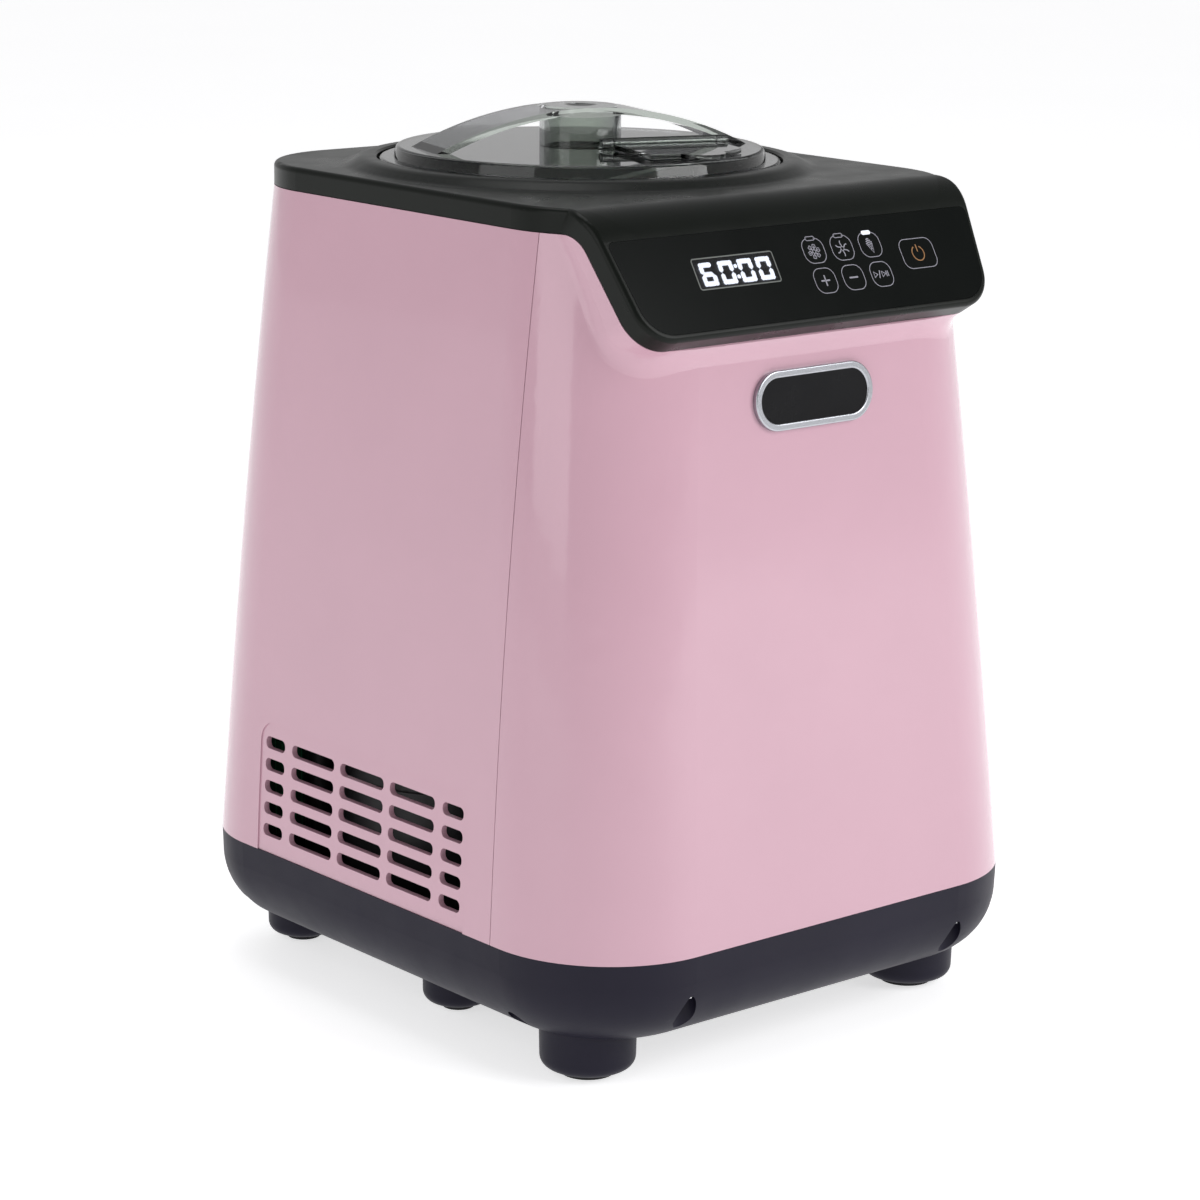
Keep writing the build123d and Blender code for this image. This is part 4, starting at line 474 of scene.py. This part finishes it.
def rounded_box(centre, size, corner, steps=8):
    """Outline of a rounded rectangle, anticlockwise from its lower right corner."""
    half_x, half_y = size[0] / 2 - corner, size[1] / 2 - corner
    points = []
    for quarter, (side_x, side_y) in enumerate(((1, -1), (1, 1), (-1, 1), (-1, -1))):
        middle = (centre[0] + side_x * half_x, centre[1] + side_y * half_y)
        points += arc_points(middle, corner, -90 + 90 * quarter, 90 * quarter, steps)
    return points


def placed(points, centre, angle_deg=0):
    """Points turned about the origin and then moved to a centre."""
    angle = radians(angle_deg)
    return [
        (centre[0] + x * cos(angle) - y * sin(angle), centre[1] + x * sin(angle) + y * cos(angle))
        for x, y in points
    ]


def add_line(bm, points, width=OUTLINE_LINE, closed=False):
    """A printed line on the panel."""
    add_strip(bm, points, width, closed, PRINT_SINK, PRINT_RISE)


def draw_frost(bm, centre):
    """Six petals round a small ring, for the cooling key."""
    petal_outline = [(1.1, 0), (1.9, 0.75), (2.75, 0.55), (2.75, -0.55), (1.9, -0.75)]
    petal_vein = [(1.35, 0), (2.3, 0)]
    add_line(bm, ring_points(centre, 0.75, 12), RING_LINE, closed=True)
    for petal in range(6):
        turn = 60 * petal + 15
        add_line(bm, placed(petal_outline, centre, turn), PETAL_LINE, closed=True)
        add_line(bm, placed(petal_vein, centre, turn), PETAL_LINE)


def draw_fan(bm, centre):
    """Six curved blades round a small ring, for the mixing key."""
    curve = [(1.0, 0.1), (1.7, 0.55), (2.4, 0.75), (3.0, 0.6)]
    add_line(bm, ring_points(centre, 0.8, 12), SIGN_LINE, closed=True)
    for blade in range(6):
        add_line(bm, placed(curve, centre, 60 * blade + 20), BOLD_LINE)


def draw_cone(bm, centre):
    """An ice cream cone leaning to the left, for the making key."""
    lean = 12
    add_line(bm, placed([(-1.25, 0.5), (0, -3.0), (1.25, 0.5)], centre, lean), RING_LINE, closed=True)
    for level, half in ((1.0, 1.5), (1.75, 1.15), (2.45, 0.7)):
        scoop = [(-half, level), (0, level + 0.3), (half, level)]
        add_line(bm, placed(scoop, centre, lean), BOLD_LINE)
    for side in (-1, 1):
        wafer = [(side * 0.6, 0.3), (side * -0.35, -1.6)]
        add_line(bm, placed(wafer, centre, lean), FINE_LINE)


def draw_plus(bm, centre):
    """A plus sign."""
    add_line(bm, placed([(-SIGN_HALF, 0), (SIGN_HALF, 0)], centre), PLUS_LINE)
    add_line(bm, placed([(0, -SIGN_HALF), (0, SIGN_HALF)], centre), PLUS_LINE)


def draw_minus(bm, centre):
    """A minus sign."""
    add_line(bm, placed([(-SIGN_HALF, 0), (SIGN_HALF, 0)], centre), MINUS_LINE)


def draw_play(bm, centre):
    """Play, a slash, then play and pause."""
    half = 1.1
    triangle = [(-0.75, -half), (0.95, 0), (-0.75, half)]
    slash = [(-0.45, -1.5), (0.45, 1.5)]
    add_line(bm, placed(triangle, (centre[0] - 2.9, centre[1])), SIGN_LINE, closed=True)
    add_line(bm, placed(slash, (centre[0] - 1.0, centre[1])), SLASH_LINE)
    add_line(bm, placed(triangle, (centre[0] + 1.0, centre[1])), SIGN_LINE, closed=True)
    for bar in (2.4, 3.2):
        add_line(bm, placed([(bar, -half), (bar, half)], centre), PAUSE_LINE)


UPPER_SIGNS = (draw_frost, draw_fan, draw_cone)
LOWER_SIGNS = (draw_plus, draw_minus, draw_play)


def pill_outline(centre):
    """Outline of the small bar in the top edge of the key with this centre."""
    top = (centre[0], centre[1] + KEY_SIZE[1] / 2)
    return rounded_box(top, PILL_SIZE, PILL_CORNER, PILL_STEPS)


def open_key_outline(centre):
    """A key's outline from the left side of its small bar, anticlockwise round to the right side."""
    outline = rounded_box(centre, KEY_SIZE, KEY_CORNER)
    top_left = [index for index, (x, y) in enumerate(outline) if y > centre[1] and x < centre[0]]
    outline = outline[top_left[0]:] + outline[:top_left[0]]
    top = outline[0][1]
    return [(centre[0] - PILL_GAP, top), *outline, (centre[0] + PILL_GAP, top)]


def add_key_legends():
    """Outlines and signs of the six touch keys and of the power key."""
    bm = bmesh.new()
    for column, sign in zip(KEY_COLUMNS, UPPER_SIGNS):
        centre = (column, KEY_ROWS[0])
        add_line(bm, open_key_outline(centre))
        add_line(bm, pill_outline(centre), closed=True)
        sign(bm, (centre[0], centre[1] - SIGN_DROP))
    for column, sign in zip(KEY_COLUMNS, LOWER_SIGNS):
        centre = (column + ROW_SHIFT, KEY_ROWS[1])
        add_line(bm, rounded_box(centre, KEY_SIZE, KEY_CORNER), closed=True)
        sign(bm, centre)
    add_line(bm, rounded_box(POWER_KEY, POWER_SIZE, POWER_CORNER), closed=True)
    new_object("key_legends", bm, "legend", "case")


def add_lit_signs():
    """The lit bar over the third key and the amber power sign."""
    bm = bmesh.new()
    lit_pill = pill_outline((KEY_COLUMNS[2], KEY_ROWS[0]))
    add_patch(bm, lit_pill, PRINT_SINK, PRINT_RISE + LIT_BAR_RISE)
    new_object("lit_key_bar", bm, "dim light", "case")
    bm = bmesh.new()
    arc = arc_points(POWER_KEY, POWER_RADIUS, 90 + POWER_GAP_DEG, 450 - POWER_GAP_DEG, POWER_STEPS)
    bar = [(0, POWER_BAR_FOOT), (0, POWER_RADIUS + POWER_BAR_FOOT)]
    add_line(bm, arc, BOLD_LINE)
    add_line(bm, placed(bar, POWER_KEY), POWER_BAR_LINE)
    new_object("power_sign", bm, "amber light", "case")


# ---------------------------------------------------------------- display
DIGIT_SIZE = (6.7, 8.9)
DIGIT_STROKE = 1.8
DIGIT_STEPS = (-12.3, -3.5, 5.6, 14.2)      # the digits' middles, from the window's middle
DIGIT_FACE = -1.25            # the digits' face, below the panel's
DIGIT_THICK = 0.15
SEGMENT_GAP = 0.12
ROUND_STEPS = 24
COLON_STEP = 1.05
COLON_RISES = (-2.0, 2.0)
COLON_RADIUS = 0.75
WINDOW_LINE = 0.45            # width of the line round the window
WINDOW_LINE_ROOM = 0.2        # the line's middle is this much larger than the window, in all
WINDOW_LINE_CORNER = 1.0


def window_place():
    """Centre and size of the display window on the face, in millimetres."""
    low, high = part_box("display_window")
    middle = (Vector(low) + Vector(high)) / 2
    across = (middle - PANEL_ORIGIN).dot(PANEL_RIGHT) / MM
    mesh = NODES["display_window"].data
    heights = [(vertex.co - PANEL_ORIGIN).dot(PANEL_UP) / MM for vertex in mesh.vertices]
    centre = (across, (min(heights) + max(heights)) / 2)
    size = ((high[0] - low[0]) / MM, max(heights) - min(heights))
    return centre, size


def digit_segments(lit_names):
    """Outlines of the lit segments of one digit round the origin: pointed bars and round corners."""
    half_x = (DIGIT_SIZE[0] - DIGIT_STROKE) / 2
    half_y = (DIGIT_SIZE[1] - DIGIT_STROKE) / 2
    half = DIGIT_STROKE / 2
    gap = SEGMENT_GAP

    def level(height):
        return [
            (-half_x + gap, height), (-half_x + half, height + half), (half_x - half, height + half),
            (half_x - gap, height), (half_x - half, height - half), (-half_x + half, height - half),
        ]

    def upright(across, low, high):
        return [
            (across, high - gap), (across + half, high - half), (across + half, low + half),
            (across, low + gap), (across - half, low + half), (across - half, high - half),
        ]

    def corner(side_x, side_y):
        return ring_points((side_x * half_x, side_y * half_y), half, ROUND_STEPS)

    shapes = {
        "top": level(half_y), "middle": level(0), "bottom": level(-half_y),
        "upper left": upright(-half_x, 0, half_y), "upper right": upright(half_x, 0, half_y),
        "lower left": upright(-half_x, -half_y, 0), "lower right": upright(half_x, -half_y, 0),
    }
    corners = {
        ("top", "upper left"): corner(-1, 1), ("top", "upper right"): corner(1, 1),
        ("bottom", "lower left"): corner(-1, -1), ("bottom", "lower right"): corner(1, -1),
    }
    outlines = [shapes[name] for name in lit_names]
    outlines += [shape for pair, shape in corners.items() if set(pair) <= set(lit_names)]
    if "top" in lit_names and "upper right" not in lit_names:
        outlines.append(ring_points((half_x - half, half_y), half, ROUND_STEPS))
    return outlines


SIX = ("top", "middle", "bottom", "upper left", "lower left", "lower right")
ZERO = ("top", "bottom", "upper left", "upper right", "lower left", "lower right")


def add_digits():
    """The lit time, as wide segments with round corners behind the window."""
    (centre_x, centre_y), _ = window_place()
    outlines = []
    for step, names in zip(DIGIT_STEPS, (SIX, ZERO, ZERO, ZERO)):
        outlines += [placed(segment, (centre_x + step, centre_y)) for segment in digit_segments(names)]
    for rise in COLON_RISES:
        outlines.append(ring_points((centre_x + COLON_STEP, centre_y + rise), COLON_RADIUS, ROUND_STEPS))
    bm = bmesh.new()
    for outline in outlines:
        add_patch(bm, outline, DIGIT_FACE - DIGIT_THICK, DIGIT_FACE)
    digits = new_object("lit_digits", bm, "white light", "case")
    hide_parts("display_digits")


def add_window_frame():
    """The thin pale line printed round the display window."""
    centre, (width, height) = window_place()
    size = (width + WINDOW_LINE_ROOM, height + WINDOW_LINE_ROOM)
    bm = bmesh.new()
    add_line(bm, rounded_box(centre, size, WINDOW_LINE_CORNER), WINDOW_LINE, closed=True)
    new_object("window_line", bm, "window line", "case")


# ---------------------------------------------------------------- camera, light and floor
# Place in metres, azimuth from +Y towards +X and the other angles in degrees, lens in millimetres
CAMERA_PLACE = (-0.8652, -1.0187, 0.469)
CAMERA_AZIMUTH = 40.175
CAMERA_DOWN = 13.533
CAMERA_ROLL = 0.682
CAMERA_LENS = 106.9
SENSOR_WIDTH = 36.0


def add_camera():
    """The camera at the photograph's viewing angle."""
    turn, down, roll = radians(CAMERA_AZIMUTH), radians(CAMERA_DOWN), radians(CAMERA_ROLL)
    ahead = Vector((sin(turn) * cos(down), cos(turn) * cos(down), -sin(down)))
    right = Vector((cos(turn), -sin(turn), 0))
    up = right.cross(ahead)
    rolled_right = right * cos(roll) + up * sin(roll)
    rolled_up = up * cos(roll) - right * sin(roll)
    data = bpy.data.cameras.new("camera")
    data.lens = CAMERA_LENS
    data.sensor_width = SENSOR_WIDTH
    camera = bpy.data.objects.new("camera", data)
    axes = Matrix((rolled_right, rolled_up, -ahead)).transposed()
    camera.matrix_world = Matrix.Translation(CAMERA_PLACE) @ axes.to_4x4()
    bpy.context.collection.objects.link(camera)
    bpy.context.scene.camera = camera


LIGHT_TARGET = (0, 0, 0.17)   # half way up the machine

# Each light's name, place and size in metres, and power in watts
LIGHTS = (
    ("key", (0.9, -1.7, 1.1), (1.3, 1.3), 24),
    ("fill", (-1.9, -0.1, 0.9), (1.2, 1.6), 8),
    ("top", (0.0, 0.4, 1.9), (1.2, 1.2), 8),
)


def add_area(name, place, size, power):
    """A soft rectangular light aimed at the middle of the machine."""
    data = bpy.data.lights.new(name, "AREA")
    data.shape = "RECTANGLE"
    data.size, data.size_y = size
    data.energy = power
    light = bpy.data.objects.new(name, data)
    aim = Vector(LIGHT_TARGET) - Vector(place)
    light.matrix_world = Matrix.Translation(place) @ aim.to_track_quat("-Z", "Y").to_matrix().to_4x4()
    bpy.context.collection.objects.link(light)


# The surroundings' brightness, and their grey from the horizon (0) up to straight overhead (1)
WORLD_LIGHT = 0.6
SKY_GREYS = (
    (0.0, (1, 1, 1)),
    (0.12, (1, 1, 1)),
    (0.4, (0.62, 0.62, 0.63)),
    (0.9, (0.5, 0.5, 0.51)),
)


def add_world():
    """Pale surroundings, dimmer overhead so that the dark cover stays dark."""
    world = bpy.data.worlds.new("studio")
    world.use_nodes = True
    tree = world.node_tree
    coords = tree.nodes.new("ShaderNodeTexCoord")
    split = tree.nodes.new("ShaderNodeSeparateXYZ")
    tree.links.new(coords.outputs["Generated"], split.inputs["Vector"])
    sky = ramp(tree, split.outputs["Z"], [(height, rgba(grey)) for height, grey in SKY_GREYS])
    tree.links.new(sky, tree.nodes["Background"].inputs["Color"])
    tree.nodes["Background"].inputs["Strength"].default_value = WORLD_LIGHT
    bpy.context.scene.world = world
    bpy.context.scene.view_settings.view_transform = "Standard"


FLOOR_HALF = 6.0
FLOOR_GLOW = 0.64
FLOOR_ROUGHNESS = 0.55
FLOOR_GREYS = ((0.87, 0.87, 0.88), (0.89, 0.89, 0.9))


def add_floor():
    """A plain white floor that glows a little, as a studio table lit from below does."""
    mesh = bpy.data.meshes.new("floor")
    corners = [(side_x * FLOOR_HALF, side_y * FLOOR_HALF, 0)
               for side_x, side_y in ((-1, -1), (1, -1), (1, 1), (-1, 1))]
    mesh.from_pydata(corners, [], [(0, 1, 2, 3)])
    floor = bpy.data.objects.new("floor", mesh)
    material, tree, shader = start_material("floor paper")
    paper = two_tone(tree, noise(tree, scale=3, detail=2), *FLOOR_GREYS)
    tree.links.new(paper, shader.inputs["Base Color"])
    set_sockets(shader, Roughness=FLOOR_ROUGHNESS, Emission_Color=rgba((1, 1, 1)),
                Emission_Strength=FLOOR_GLOW)
    mesh.materials.append(material)
    bpy.context.collection.objects.link(floor)


def add_lights():
    """Soft studio light: a key in front and to the right, a fill on the left and one from above."""
    for light in LIGHTS:
        add_area(*light)


dress_cad_nodes()
add_key_legends()
add_lit_signs()
add_digits()
add_window_frame()
add_camera()
add_world()
add_floor()
add_lights()
